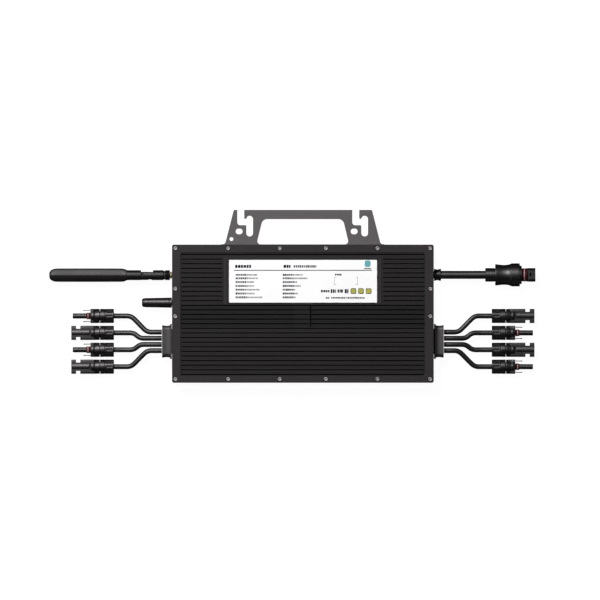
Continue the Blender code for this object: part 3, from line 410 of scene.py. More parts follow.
def rounded_box(x_range, y_range, radius, steps=5):
    (x_low, x_high), (y_low, y_high) = x_range, y_range
    points = []
    for x, y, start in ((x_high, y_low, -90), (x_high, y_high, 0), (x_low, y_high, 90), (x_low, y_low, 180)):
        across = math.copysign(radius, x - x_low - radius)
        along = math.copysign(radius, y - y_low - radius)
        points += arc((x - across, y - along), radius, start, start + 90, steps)
    return points


def centred_box(half_x, half_y, radius, steps=5):
    return rounded_box((-half_x, half_x), (-half_y, half_y), radius, steps)


def filleted(corners, steps=8):
    """An outline with rounded corners, from (x, y, radius) with radius 0 for a sharp corner."""
    points = []
    for i, (x, y, radius) in enumerate(corners):
        if radius == 0:
            points.append((x, y))
            continue
        before, after = corners[i - 1], corners[(i + 1) % len(corners)]
        back = math.atan2(before[1] - y, before[0] - x)
        ahead = math.atan2(after[1] - y, after[0] - x)
        half = math.remainder(ahead - back, math.tau) / 2
        reach = radius / math.sin(abs(half))
        middle = back + half
        centre = (x + reach * math.cos(middle), y + reach * math.sin(middle))
        turn = math.copysign(math.pi / 2 - abs(half), half)
        first, last = middle + math.pi + turn, middle + math.pi - turn
        points += arc(centre, radius, math.degrees(first), math.degrees(last), steps)
    return points


def softened(profile, radius=0.0003, closed=False, steps=3):
    """Round the corners of a profile."""
    count = len(profile)
    points = [] if closed else [profile[0]]
    for i in range(count) if closed else range(1, count - 1):
        before, corner, after = profile[i - 1], profile[i], profile[(i + 1) % count]
        back, ahead = math.dist(before, corner), math.dist(corner, after)
        reach = min(radius, 0.45 * back, 0.45 * ahead)
        first = [c + (b - c) * reach / back for b, c in zip(before, corner)]
        last = [c + (a - c) * reach / ahead for a, c in zip(after, corner)]
        for j in range(steps + 1):
            t = j / steps
            points.append(tuple((1 - t) ** 2 * f + 2 * t * (1 - t) * c + t * t * e
                                for f, c, e in zip(first, corner, last)))
    if not closed:
        points.append(profile[-1])
    return points


def lathe(profile, sides=64, ripple=None, closed=False, soft=0.0003, step=0.0):
    """Turn a profile of (distance along X, radius).

    ripple(distance, turn, radius) gives a change of radius, and step splits long spans for it.
    """
    path = softened(profile, soft, closed)
    if step:
        finer = [path[0]]
        for start, end in zip(path, path[1:]):
            parts = max(1, math.ceil(math.dist(start, end) / step))
            for k in range(1, parts + 1):
                finer.append(tuple(a + (b - a) * k / parts for a, b in zip(start, end)))
        path = finer
    rings = []
    for along, radius in path:
        ring = []
        for i in range(sides):
            turn = math.tau * i / sides
            reach = radius + (ripple(along, turn, radius) if ripple else 0.0)
            ring.append((along, reach * math.cos(turn), reach * math.sin(turn)))
        rings.append(ring)
    return loft(rings, closed)


def step_up(low, high, value):
    """Rise smoothly from 0 to 1 between two values."""
    t = min(1.0, max(0.0, (value - low) / (high - low)))
    return t * t * (3 - 2 * t)


def wave(angle):
    """A wave between 0 and 1."""
    return 0.5 + 0.5 * math.cos(angle)


def smooth_curve(points, steps):
    """Read a Catmull-Rom curve through the points, with this many steps in each span."""
    ends = [points[0]] + list(points) + [points[-1]]
    read = []
    for before, start, end, after in zip(ends, ends[1:], ends[2:], ends[3:]):
        for i in range(steps):
            t = i / steps
            place = []
            for a, b, c, d in zip(before, start, end, after):
                bend = 2 * a - 5 * b + 4 * c - d
                twist = 3 * (b - c) + d - a
                place.append(0.5 * (2 * b + (c - a) * t + bend * t * t + twist * t * t * t))
            read.append(place)
    read.append(list(points[-1]))
    return read


# --- Pieces

EDGE_ANGLE, SHARP_ANGLE = 32.0, 42.0


def new_item(name, shape, place=(0.0, 0.0, 0.0)):
    bmesh.ops.recalc_face_normals(shape, faces=shape.faces)
    mesh = bpy.data.meshes.new(name)
    shape.to_mesh(mesh)
    shape.free()
    item = link(bpy.data.objects.new(name, mesh))
    item.location = place
    return item


def settle(item):
    """Apply an object's modifiers to its mesh."""
    bpy.context.view_layer.update()
    graph = bpy.context.evaluated_depsgraph_get()
    mesh = bpy.data.meshes.new_from_object(item.evaluated_get(graph))
    item.modifiers.clear()
    item.data = mesh


def carve(item, shape, operation="DIFFERENCE"):
    tool = new_item("tool", shape, item.location)
    step = item.modifiers.new("step", "BOOLEAN")
    step.operation = operation
    step.object = tool
    settle(item)
    bpy.data.objects.remove(tool, do_unlink=True)


def add_bevel(item, width, angle=EDGE_ANGLE):
    step = item.modifiers.new("round", "BEVEL")
    step.width = width
    step.segments = 2
    step.limit_method = "ANGLE"
    step.angle_limit = math.radians(angle)


def round_edges(item, width, angle=EDGE_ANGLE):
    add_bevel(item, width, angle)
    settle(item)


def place_piece(item, surface, body="root", node=None, accent=None, at=None):
    """Give a new piece its finish, body and place, and hide the CAD node that it stands for.

    accent is (finish, low, high) for a band along X.
    """
    item.data.materials.clear()
    item.data.materials.append(surface)
    if accent:
        band, low, high = accent
        item.data.materials.append(band)
        for face in item.data.polygons:
            face.material_index = int(low < face.center.x < high)
    item.data.shade_smooth()
    item.data.set_sharp_from_angle(angle=math.radians(SHARP_ANGLE))
    item.modifiers.new("even", "WEIGHTED_NORMAL").keep_sharp = True
    settle(item)
    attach(item, body)
    if node:
        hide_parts(node)
    if at is not None:
        item.matrix_world = at
    return item


def end_place(side, x, y, z=PORT_HEIGHT):
    """Place of a piece on an end of the case; the pieces of the -X end are turned half round."""
    return Matrix.Translation((side * x, y, z)) @ Matrix.Rotation(0.0 if side > 0 else math.pi, 4, "Z")


def turned_piece(name, surface, slot, at, profile, sides, body="root", node=None, accent=None, **lathing):
    """Turn a piece on a lathe, finish it and place it."""
    item = new_item(name, lathe(profile, sides, **lathing))
    return place_piece(item, surface, body, node, accent, at)


first_of_kind = {}


def place_one(build, name, surface, at, node=None, accent=None):
    """Place one of many alike: the first is built, and the others share its mesh."""
    first = first_of_kind.get(build)
    if first is None:
        first_of_kind[build] = place_piece(build(name), surface, "root", node, accent, at)
        return
    copy = link(bpy.data.objects.new(name, first.data))
    copy.matrix_world = at
    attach(copy, "root")
    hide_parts(*([node] if node else []))


def cable(name, route, diameter, node):
    read = smooth_curve(route, 4)
    curve = bpy.data.curves.new(name, "CURVE")
    curve.dimensions = "3D"
    curve.bevel_depth = diameter / 2
    curve.bevel_resolution = 6
    curve.use_fill_caps = True
    spline = curve.splines.new("POLY")
    spline.points.add(len(read) - 1)
    for point, place in zip(spline.points, read):
        point.co = (*place, 1.0)
    spline.use_smooth = True
    curve.materials.append(CABLE_JACKET)
    item = link(bpy.data.objects.new(name, curve))
    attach(item, "root")
    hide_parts(node)
    return item, sum(math.dist(a, b) for a, b in zip(read, read[1:]))


def end_and_row(number):
    """The end of the case that a solar lead is on, and its row counted from the bracket's side."""
    return (-1 if number <= 4 else 1), (number - 1) % 4


def lead_route(number):
    side, row = end_and_row(number)
    start, end = LEAD_EXIT_Y[row], PLUG_Y[row]
    shape = OUTER_LEAD_ROUTE if row in (0, 3) else INNER_LEAD_ROUTE
    return [(side * x, start + share * (end - start), z) for x, share, z in shape]


leads = {}
for number in range(1, 9):
    route = lead_route(number)
    leads[number] = (*cable(f"solar_lead_{number}", route, LEAD_DIAMETER, f"pv_cable_{number}"), route[0])
ac_lead, ac_length = cable("ac_lead", AC_ROUTE, AC_DIAMETER, "ac_cable")


# --- Case

def case_outline(inset=0.0):
    return centred_box(CASE_HALF_X - inset, CASE_HALF_Y - inset, CASE_CORNER - inset)


def groove(shape, x_range, y, floor, top_width, floor_width):
    """A slot with round ends and sloping sides."""
    rings = []
    for width, height in ((floor_width, floor), (top_width, ABOVE_CASE)):
        inset = (top_width - width) / 2
        ends, edges = (x_range[0] + inset, x_range[1] - inset), (y - width / 2, y + width / 2)
        rings.append(lifted(rounded_box(ends, edges, width * 0.32, 3), height))
    add_loft(shape, rings)


def groove_y(index):
    return FIRST_GROOVE_Y - GROOVE_PITCH * index


def groove_spans(index):
    if 1 <= index <= 10:
        return ((-GROOVE_HALF_X, -GROOVE_SIDE_INNER), (GROOVE_SIDE_INNER, GROOVE_HALF_X))
    if 11 <= index <= 15:
        return ((-GROOVE_HALF_X, BRIDGE_X[0]), (BRIDGE_X[1] + BRIDGE_SLIT_WIDTH, GROOVE_HALF_X))
    return ((-GROOVE_HALF_X, GROOVE_HALF_X),)


def cover_screw_places():
    across, up = (0.1733, 0.1015, 0.0314), 0.0889
    places = [(side * x, end * up) for side in (-1, 1) for end in (-1, 1) for x in across]
    return places + [(side * 0.1735, y) for side in (-1, 1) for y in (0.0339, -0.0036)]


def make_cover():
    edge, slope = 0.0009, 0.0012
    rings = [lifted(case_outline(0.0002), COVER_BOTTOM), lifted(case_outline(), COVER_BOTTOM + 0.0002)]
    for turn in range(0, 100, 30):
        t = math.radians(turn)
        rings.append(lifted(case_outline(edge - edge * math.cos(t)), CASE_TOP - edge + edge * math.sin(t)))
    cover = new_item("cover_casting", loft(rings))
    above = CASE_TOP + slope

    def grown(x_range, y_range, radius, grow):
        x_ends, y_ends = ((low - grow, high + grow) for low, high in (x_range, y_range))
        return rounded_box(x_ends, y_ends, radius)

    def field(grow):
        return grown((-FIELD_X, FIELD_X), FIELD_Y, 0.003, grow)

    def pad(grow):
        return grown(PAD_X, PAD_Y, 0.002, grow)

    # The sunken field, with sloping walls at its edge and round the label's pad
    carve(cover, loft([
        lifted(field(-slope), FIELD_TOP),
        lifted(field(slope), above),
        lifted(pad(-slope / 2), above),
        lifted(pad(slope / 2), FIELD_TOP),
    ], closed=True))
    # The lower band under the label, with a higher bridge across it
    for x_range, top in (
        ((-GROOVE_HALF_X, GROOVE_HALF_X), BRIDGE_TOP),
        ((-GROOVE_HALF_X, BRIDGE_X[0]), BAND_TOP),
        ((BRIDGE_X[1], GROOVE_HALF_X), BAND_TOP),
    ):
        carve(cover, prism(rounded_box(x_range, BAND_Y, 0.0005, 2), top, ABOVE_CASE))
    grooves = bmesh.new()
    for index in range(GROOVE_COUNT):
        for span in groove_spans(index):
            groove(grooves, span, groove_y(index), GROOVE_FLOOR, 0.0015, 0.0012)
    # A fine line along each fin, no longer than the grooves on both sides of it
    for index in range(GROOVE_COUNT - 1):
        y = groove_y(index + FIN_LINE)
        for span in groove_spans(index + (index in (0, 10, 15))):
            add_loft(grooves, [
                lifted(rounded_box(span, (y - half, y + half), 0.0002, 2), z)
                for half, z in ((0.0002, FIELD_TOP - 0.00025), (0.0006, FIELD_TOP + 0.0003))
            ])
    carve(cover, grooves)
    bridge = bmesh.new()
    for index in range(11, 16):
        groove(bridge, (BRIDGE_X[0] - 0.0005, BRIDGE_X[1] + 0.0002), groove_y(index), 0.0360, 0.0012, 0.0010)
    carve(cover, bridge)
    slit = rounded_box((BRIDGE_X[1], BRIDGE_X[1] + BRIDGE_SLIT_WIDTH + 0.0001), BAND_Y, 0.0003, 2)
    carve(cover, prism(slit, GROOVE_FLOOR + 0.001, ABOVE_CASE))
    label_seat = rounded_box((-0.1036, 0.1036), (0.0138, 0.0746), 0.0015)
    carve(cover, prism(label_seat, 0.0392, ABOVE_CASE))
    round_edges(cover, 0.00028)
    seats = bmesh.new()
    for place in cover_screw_places():
        add_loft(seats, discs(place, (
            (0.0017, COVER_BOTTOM - CUT_PAST), (0.0017, CASE_TOP - 0.0018), (0.0034, CASE_TOP - 0.0018),
            (0.0034, CASE_TOP - 0.0003), (0.0037, CASE_TOP), (0.0047, ABOVE_CASE),
        )))
    carve(cover, seats)
    place_piece(cover, COVER_BLACK, node="finned_cover")


def refine_node(name, surface, width):
    """Give a CAD node its finish, and round its edges with modifiers unless the width is 0."""
    node = nodes[name]
    node.data.materials.clear()
    node.data.materials.append(surface)
    if width:
        node.modifiers.new("weld", "WELD").merge_threshold = 1e-6
        add_bevel(node, width)
        node.modifiers.new("even", "WEIGHTED_NORMAL")


def cover_screw(name):
    """A pan head with a hexagon socket, standing on z 0, and its shank below."""
    radius, height, socket, socket_depth, sides = 0.0028, 0.0016, 0.0014, 0.0009, 36
    rise = 0.35 * height
    profile = [(radius * 0.55, -0.0045), (radius * 0.55, 0.0), (radius, 0.0)]
    for degrees in (0, 30, 60, 90):
        t = math.radians(degrees)
        profile.append((radius - rise * (1 - math.cos(t)), height - rise + rise * math.sin(t)))
    profile += [(socket * 1.12, height), (socket, height - 0.00012)]
    rings = discs((0, 0), profile, sides)

    def hexagon(size, z):
        ring = []
        for i in range(sides):
            turn = math.tau * i / sides
            reach = size * math.cos(math.pi / 6) / math.cos((turn % (math.pi / 3)) - math.pi / 6)
            ring.append((reach * math.cos(turn), reach * math.sin(turn), z))
        return ring

    rings += [hexagon(socket * 0.96, height - 0.0002), hexagon(socket * 0.92, height - socket_depth)]
    return new_item(name, loft(rings))


def back_screw(name):
    """A countersunk screw that is seen from the back."""
    return new_item(name, loft(discs((0, 0), (
        (0.0018, 0.0053), (0.0018, 0.0020), (0.0034, 0.0004), (0.0036, 0.0003), (0.0036, 0.0002),
        (0.0016, 0.0002), (0.0015, 0.0003), (0.0015, 0.0014),
    ), 36)))


def make_screws():
    turns = random.Random(4)

    def screw_place(x, y, z):
        return Matrix.Translation((x, y, z)) @ Matrix.Rotation(turns.uniform(0, 1), 4, "Z")

    for number, (x, y) in enumerate(cover_screw_places(), 1):
        at = screw_place(x, y, CASE_TOP - 0.00175)
        place_one(cover_screw, f"cover_screw_{number}", ZINC, at)
    for number in range(1, 5):
        node = f"bracket_screw_{number}"
        low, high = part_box(node)
        at = screw_place((low.x + high.x) / 2, (low.y + high.y) / 2, 0.0)
        place_one(back_screw, f"back_screw_{number}", ZINC, at, node)


def make_bracket():
    low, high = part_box("mounting_bracket")
    half_x, base, top, thick = high.x, low.y, high.y, high.z
    root_x, root_y = 0.1059, 0.0946
    corners = [
        (-half_x, base, 0.002), (half_x, base, 0.002),
        (half_x, root_y, 0.0004), (root_x, root_y, 0.0035), (0.0940, top, 0.0018),
        (-0.0940, top, 0.0018), (-root_x, root_y, 0.0035), (-half_x, root_y, 0.0004),
    ]
    plate = new_item("hook_bracket", prism(filleted(corners), 0.0, thick))
    above = thick + CUT_PAST
    handle = filleted([(-0.0631, 0.0943, 0.0045), (0.0627, 0.0943, 0.0045),
                       (0.0545, 0.1286, 0.0080), (-0.0547, 0.1286, 0.0080)], 12)
    outlines = []
    slot_half, slot_low, mouth_y, past_top = 0.00456, 0.10966, 0.1204, top + 0.01
    for shift in (0.0, 0.1564):
        slot_x, outer, inner = -0.0724 + shift, -0.0892 + shift, -0.0798 + shift
        notch = filleted([(outer, past_top, 0), (outer, mouth_y, 0.0040),
                          (slot_x - slot_half, mouth_y, 0.0012), (slot_x - slot_half, slot_low, 0)])
        notch += arc((slot_x, slot_low), slot_half, 180, 360, 20)[1:]
        notch += arc((slot_x, 0.12854), slot_half, 0, 140, 16)
        notch += arc((inner + 0.0016, 0.1304), 0.0016, 320, 180, 10)
        notch.append((inner, past_top))
        oblong = rounded_box((-0.0914 + shift, -0.0820 + shift), (0.1081, 0.1157), 0.0037, 8)
        outlines += [notch, oblong]
    outlines += [handle, circle((-0.0972, 0.1015), 0.0026, 28)]
    openings = bmesh.new()
    for outline in outlines:
        add_prism(openings, outline, -CUT_PAST, above)
    for x in (-0.092, 0.092):
        for y in (0.052, 0.082):
            add_loft(openings, discs((x, y), ((0.0051, -CUT_PAST), (0.0022, 0.0021), (0.0022, above))))
    carve(plate, openings)
    round_edges(plate, 0.00025)
    place_piece(plate, BRACKET_GREY, node="mounting_bracket")


# --- Label

def add_bar(shape, x_range, y_range, low, high):
    radius = 0.22 * min(x_range[1] - x_range[0], y_range[1] - y_range[0])
    add_prism(shape, rounded_box(x_range, y_range, radius, 2), low, high)


def make_label():
    low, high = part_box("rating_label")
    film = new_item("label_film", prism(rounded_box((low.x, high.x), (low.y, high.y), 0.001), low.z, high.z))
    round_edges(film, 0.00005)
    place_piece(film, LABEL_FILM, node="rating_label")
    draw = random.Random(11)
    bottom, top = high.z - 0.00005, high.z + 0.00004
    dark, grey, teal, olive = bmesh.new(), bmesh.new(), bmesh.new(), bmesh.new()

    def blocks(shape, x, end, y, height, width, gap):
        """A row of plain blocks in place of a line of print."""
        while x < end:
            wide = min(width * draw.uniform(0.75, 1.2), end - x)
            if wide > 0.3 * width:
                tall = height * draw.uniform(0.78, 1.0)
                add_bar(shape, (x, x + wide), (y - tall / 2, y + tall / 2), bottom, top)
            x += wide + gap * draw.uniform(0.8, 1.3)

    title_y, note_y, marks_y = 0.0643, 0.0215, 0.0306
    blocks(dark, -0.0922, -0.0698, title_y, 0.0046, 0.0034, 0.0006)
    blocks(dark, -0.0262, -0.0168, title_y, 0.0046, 0.0034, 0.0006)
    blocks(dark, -0.0125, 0.0196, title_y, 0.0038, 0.0018, 0.0008)
    add_bar(dark, (-0.0938, 0.0938), (0.0584, 0.0595), bottom, top)
    rows = (0.0528, 0.0481, 0.0430, 0.0377, 0.0326, 0.0274, 0.0222)
    left_ends = (-0.0614, -0.0614, -0.0664, -0.0662, -0.0592, -0.0656, -0.0548)
    middle_ends = (-0.0003, 0.0069, -0.0081, -0.0028, -0.0101, -0.0070, -0.0101)
    for y, left, middle in zip(rows, left_ends, middle_ends):
        for start, end in ((-0.0915, left), (-0.0273, middle)):
            change = start + 0.0152
            blocks(dark, start, min(change, end), y, 0.0030, 0.0019, 0.0006)
            blocks(grey, change + 0.0006, end, y, 0.0024, 0.0012, 0.0006)
    blocks(dark, 0.0437, 0.0526, 0.0531, 0.0028, 0.0019, 0.0004)
    for x in (0.0426, 0.0716):
        for y in (0.0392, 0.0494):
            add_bar(grey, (x, x + 0.0030), (y, y + 0.0004), bottom, top)
    for x in (0.0426, 0.0742):
        add_bar(grey, (x, x + 0.0004), (0.0392, 0.0498), bottom, top)
    for start, end, height in ((0.0247, 0.0366, 0.0036), (0.0380, 0.0452, 0.0056), (0.0569, 0.0620, 0.0070)):
        blocks(dark, start, end, marks_y, height, 0.0026, 0.0006)
    blocks(grey, 0.0470, 0.0551, 0.0308, 0.0052, 0.0034, 0.0008)
    blocks(dark, 0.0312, 0.0362, note_y, 0.0026, 0.0015, 0.0005)
    blocks(dark, 0.0385, 0.0583, note_y, 0.0026, 0.0017, 0.0005)
    blocks(grey, 0.0590, 0.0843, note_y, 0.0026, 0.0017, 0.0006)
    square_y = 0.0307
    for x in (0.0688, 0.0790, 0.0895):
        for shape, half, rise in ((dark, 0.0038, 0.0), (olive, 0.0030, 0.00003)):
            patch = rounded_box((x - half, x + half), (square_y - half, square_y + half), 0.4 * half, 6)
            add_prism(shape, patch, bottom + rise, top + rise)
    add_prism(teal, rounded_box((0.0842, 0.0920), (0.0636, 0.0724), 0.0022, 6), bottom, top)
    add_prism(dark, rounded_box((0.0833, 0.0928), (0.0607, 0.0620), 0.0004, 6), bottom, top)
    for name, shape, ink in (("print_dark", dark, INK_DARK), ("print_grey", grey, INK_GREY),
                             ("print_teal", teal, INK_TEAL), ("print_olive", olive, INK_OLIVE)):
        place_piece(new_item(name, shape), ink)


# --- Solar connectors

def lead_block(name):
    """A gland block with a mouth for each of its four leads."""
    low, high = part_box("pv_gland_right")
    middle = (low.y + high.y) / 2
    sections = [
        (-0.0046, 0.0170, 0.0070, 0.0020), (0.0, 0.0170, 0.0070, 0.0020),
        (0.0, 0.02365, 0.0132, 0.0028), (0.0003, 0.02395, 0.0135, 0.0030),
        (0.0018, 0.02395, 0.0135, 0.0030), (0.0021, 0.02370, 0.0132, 0.0028),
        (0.0024, 0.02240, 0.0123, 0.0050), (0.0036, 0.02165, 0.0118, 0.0055),
        (0.0060, 0.02142, 0.0116, 0.0055), (0.0085, 0.02145, 0.0116, 0.0055),
        (0.0108, 0.02175, 0.0118, 0.0055), (0.0124, 0.02205, 0.0120, 0.0055),
        (0.0129, 0.02200, 0.01195, 0.0054), (0.0132, 0.02165, 0.0116, 0.0051),
    ]
    block = new_item(name, loft(boxed_rings(sections)))
    mouths = bmesh.new()
    for y in LEAD_EXIT_Y:
        add_loft(mouths, [
            [(x, y - middle + b, c) for b, c in circle((0, 0), radius, 32)]
            for x, radius in ((0.0118, 0.0036), (0.0126, 0.0036), (0.0133, 0.0040), (0.0140, 0.0044))
        ])
    carve(block, mouths)
    return block


def make_glands():
    low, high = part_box("pv_gland_right")
    for side, word in ((1, "right"), (-1, "left")):
        at = end_place(side, PORT_X, (low.y + high.y) / 2, (low.z + high.z) / 2)
        place_one(lead_block, f"lead_block_{word}", GLAND_PLASTIC, at, f"pv_gland_{word}")


def nut_flutes(along, turn, radius):
    """Nine finger grooves along the middle of a cap nut."""
    if radius < 0.0090:
        return 0.0
    window = step_up(0.0010, 0.0026, along) * (1 - step_up(0.0096, 0.0120, along))
    return -0.0005 * window * wave(9 * turn - math.pi / 2) ** 1.6


def body_teeth(along, turn, radius):
    """Fine teeth round the collar that the nut turns against."""
    if radius < 0.0090 or along > 0.0040:
        return 0.0
    return -0.00020 * wave(24 * turn)


def solar_nut(name):
    return new_item(name, lathe((
        (0.0125, 0.0066), (0.0189, 0.0066), (0.0189, 0.0095), (0.0185, 0.0097), (0.0130, 0.0097),
        (0.0127, 0.0094), (0.0121, 0.0094), (0.0118, 0.0097), (0.0008, 0.0097), (0.0, 0.0089),
        (0.0, 0.0050), (0.0006, 0.0044), (0.0006, 0.0034), (-0.0004, 0.0034),
    ), 108, nut_flutes, step=0.0007))


def make_nuts():
    for number in range(1, 9):
        side, row = end_and_row(number)
        at = end_place(side, SOLAR_NUT_X, PLUG_Y[row], PLUG_HEIGHT)
        place_one(solar_nut, f"solar_nut_{number}", PLUG_PLASTIC, at, f"pv_plug_nut_{number}")


# The collar that the nut turns against and the dome in front of it
PLUG_CORE = (
    (-0.0072, 0.0058), (-0.0072, 0.0062), (-0.0010, 0.0062), (-0.0010, 0.0093), (-0.0007, 0.0096),
    (0.0002, 0.0096), (0.0055, 0.0086), (0.0058, 0.0081), (0.0062, 0.0081), (0.0074, 0.0087),
    (0.0081, 0.0088), (0.0092, 0.0086), (0.0104, 0.0083), (0.0115, 0.0080), (0.0118, 0.0070),
)
PLUG_EDGE_ANGLE = 38.0


def boxed_rings(sections):
    """Rings across X, from (distance along X, half width, half height, corner radius)."""
    return [
        [(x, y, z) for y, z in centred_box(wide, tall, corner, 6)]
        for x, wide, tall, corner in sections
    ]


def plate_rings(end):
    """The flat housing: it rises out of the collar and runs on to its end."""
    sections = ((0.0006, 0.0093, 0.0030), (0.0010, 0.0097, 0.0034), (0.0030, 0.0097, 0.0042),
                (0.0060, 0.0097, 0.0058), (0.0076, 0.0097, 0.0066), (end - 0.0005, 0.0097, 0.0066),
                (end, 0.0093, 0.0062))
    return boxed_rings([(x, wide, tall, min(0.0022, 0.5 * tall)) for x, wide, tall in sections])


def plug_core(name, housing_end):
    """The collar and dome that all the solar plugs share, on a flat housing."""
    body = new_item(name, lathe(PLUG_CORE, 96, body_teeth, soft=0.0004))
    carve(body, loft(plate_rings(housing_end)), "UNION")
    return body


def rod_plug(name):
    """A short flat housing, and the rod that goes into a socket plug."""
    body = plug_core(name, 0.0117)
    carve(body, lathe((
        (0.0096, 0.00355), (0.0352, 0.00355), (0.0358, 0.0030), (0.0358, 0.0012), (0.0346, 0.0011),
    ), 56), "UNION")
    round_edges(body, 0.00018, PLUG_EDGE_ANGLE)
    return body


def socket_plug(name):
    """A long flat housing with a round hood, latch notches and a bore."""
    body = plug_core(name, 0.0378)
    carve(body, lathe((
        (0.0124, 0.0056), (0.0128, 0.0070), (0.0136, 0.0073), (0.0370, 0.0073), (0.0378, 0.0069),
        (0.0378, 0.0052),
    ), 72), "UNION")
    carve(body, lathe((
        (0.0134, 0.0018), (0.0134, 0.0048), (0.0140, 0.0052), (0.0370, 0.0052), (0.0390, 0.0064),
    ), 64))
    notches = bmesh.new()
    for y_range in ((-0.0120, -0.0057), (0.0057, 0.0120)):
        add_prism(notches, rounded_box((0.0255, 0.0312), y_range, 0.0003, 3), -0.012, 0.012)
    carve(body, notches)
    round_edges(body, 0.00018, PLUG_EDGE_ANGLE)
    return body


def rod_seal(name):
    return new_item(name, lathe((
        (0.0119, 0.0037), (0.0119, 0.0043), (0.0128, 0.0046), (0.0138, 0.0044), (0.0145, 0.0044),
        (0.0147, 0.0048), (0.0152, 0.0048), (0.0154, 0.0044), (0.0164, 0.0045), (0.0172, 0.0041),
        (0.0172, 0.0037),
    ), 56, closed=True, soft=0.0002))


def make_latch(name, side, edge, node, place):
    """A springy arm with a barb at its end, from its root at a place."""
    outline = [(0.0, -0.00055), (0.0040, -0.00050), (0.0088, -0.00065), (0.0093, -0.0005), (0.0094, -0.0002),
               (0.0086, 0.0005), (0.0079, 0.0008), (0.0075, 0.0007), (0.0071, 0.0004), (0.0040, 0.00050),
               (0.0, 0.00055)]
    arm = new_item(name, prism([(side * x, edge * y) for x, y in outline], -0.0030, 0.0030), place)
    round_edges(arm, 0.00012)
    place_piece(arm, LATCH_TINT, body=node.replace("pv_latch", "latch"), node=node)


def make_plugs():
    for number in range(1, 9):
        side, row = end_and_row(number)
        at = end_place(side, SOLAR_PLUG_X, PLUG_Y[row], PLUG_HEIGHT)
        has_rod = number in ROD_PLUGS
        build = rod_plug if has_rod else socket_plug
        place_one(build, f"solar_plug_{number}", PLUG_PLASTIC, at, f"pv_plug_body_{number}")
        if not has_rod:
            continue
        # The rod seal's lip gets a painted highlight in pale pink
        lip_painted_highlight = (SEAL_LIP_PAINTED_HIGHLIGHT, 0.0145, 0.0154)
        place_one(rod_seal, f"rod_seal_{number}", SEAL_RED, at, accent=lip_painted_highlight)
        for word, edge in (("upper", 1), ("lower", -1)):
            root = (side * LATCH_X, PLUG_Y[row] + edge * 0.0077, PLUG_HEIGHT)
            make_latch(f"latch_arm_{number}_{word}", side, edge, f"pv_latch_{number}_{word}", root)


# --- AC lead

def relief_ribs(along, turn, radius):
    """Ribs round the waist of the strain relief."""
    return -0.0002 * (radius > 0.0072 and 0.0022 < along < 0.0068) * wave(14 * turn)


def make_ac_connector():
    turned_piece("ac_strain_relief_nut", PLUG_PLASTIC, "gland_black", end_place(1, PORT_X, AC_Y), (
        (-0.0046, 0.0050), (0.0, 0.0050), (0.0, 0.0078), (0.0004, 0.0081), (0.0020, 0.0081),
        (0.0026, 0.0075), (0.0064, 0.0075), (0.0070, 0.0081), (0.0091, 0.0081), (0.0096, 0.0076),
        (0.0096, 0.0059), (0.0030, 0.0057),
    ), 72, ripple=relief_ribs, step=0.0008, node="ac_strain_relief")

    turned_piece("ac_connector_body", PLUG_PLASTIC, "plug_black", end_place(1, AC_PLUG_X, AC_Y), (
        (0.0072, 0.0057), (0.0006, 0.0057), (0.0, 0.0062), (0.0, 0.0089), (0.0004, 0.0093),
        (0.0008, 0.0093), (0.0010, 0.0091), (0.0014, 0.0091), (0.0016, 0.0093), (0.0104, 0.0093),
        (0.0106, 0.0091), (0.0111, 0.0091), (0.0113, 0.0093), (0.0120, 0.0093), (0.0123, 0.0090),
        (0.0179, 0.0090), (0.0179, 0.01245), (0.0493, 0.01245), (0.0497, 0.0120), (0.0497, 0.0030),
    ), 96, soft=0.00015, node="ac_plug_body")

    turned_piece("ac_ring", PLUG_PLASTIC, "plug_black", end_place(1, AC_RING_X, AC_Y), (
        (0.0, 0.0141), (0.0004, 0.0145), (0.0016, 0.0145), (0.0040, 0.0142), (0.0070, 0.0138),
        (0.0100, 0.01355), (0.0130, 0.0135), (0.0160, 0.0137), (0.0185, 0.0141), (0.0208, 0.0149),
        (0.0216, 0.0152), (0.0221, 0.01575), (0.0318, 0.01575), (0.0321, 0.0156), (0.0333, 0.0156),
        (0.0336, 0.0153), (0.0336, 0.0132), (0.0040, 0.0132), (0.0040, 0.0099), (0.0, 0.0099),
    ), 120, closed=True, body="ac_coupling_ring", node="ac_coupling_ring")

    # The AC seal's raised lip gets a painted highlight in pale pink
    turned_piece("ac_seal_ring", SEAL_RED, "seal_red", end_place(1, AC_SEAL_X, AC_Y), (
        (-0.0003, 0.0088), (0.0022, 0.0089), (0.0028, 0.0089), (0.0030, 0.0093), (0.0036, 0.0093),
        (0.0038, 0.0089), (0.0069, 0.0089), (0.0069, 0.0064), (-0.0003, 0.0064),
    ), 80, closed=True, soft=0.0002, node="ac_seal", accent=(SEAL_LIP_PAINTED_HIGHLIGHT, 0.0028, 0.0038))


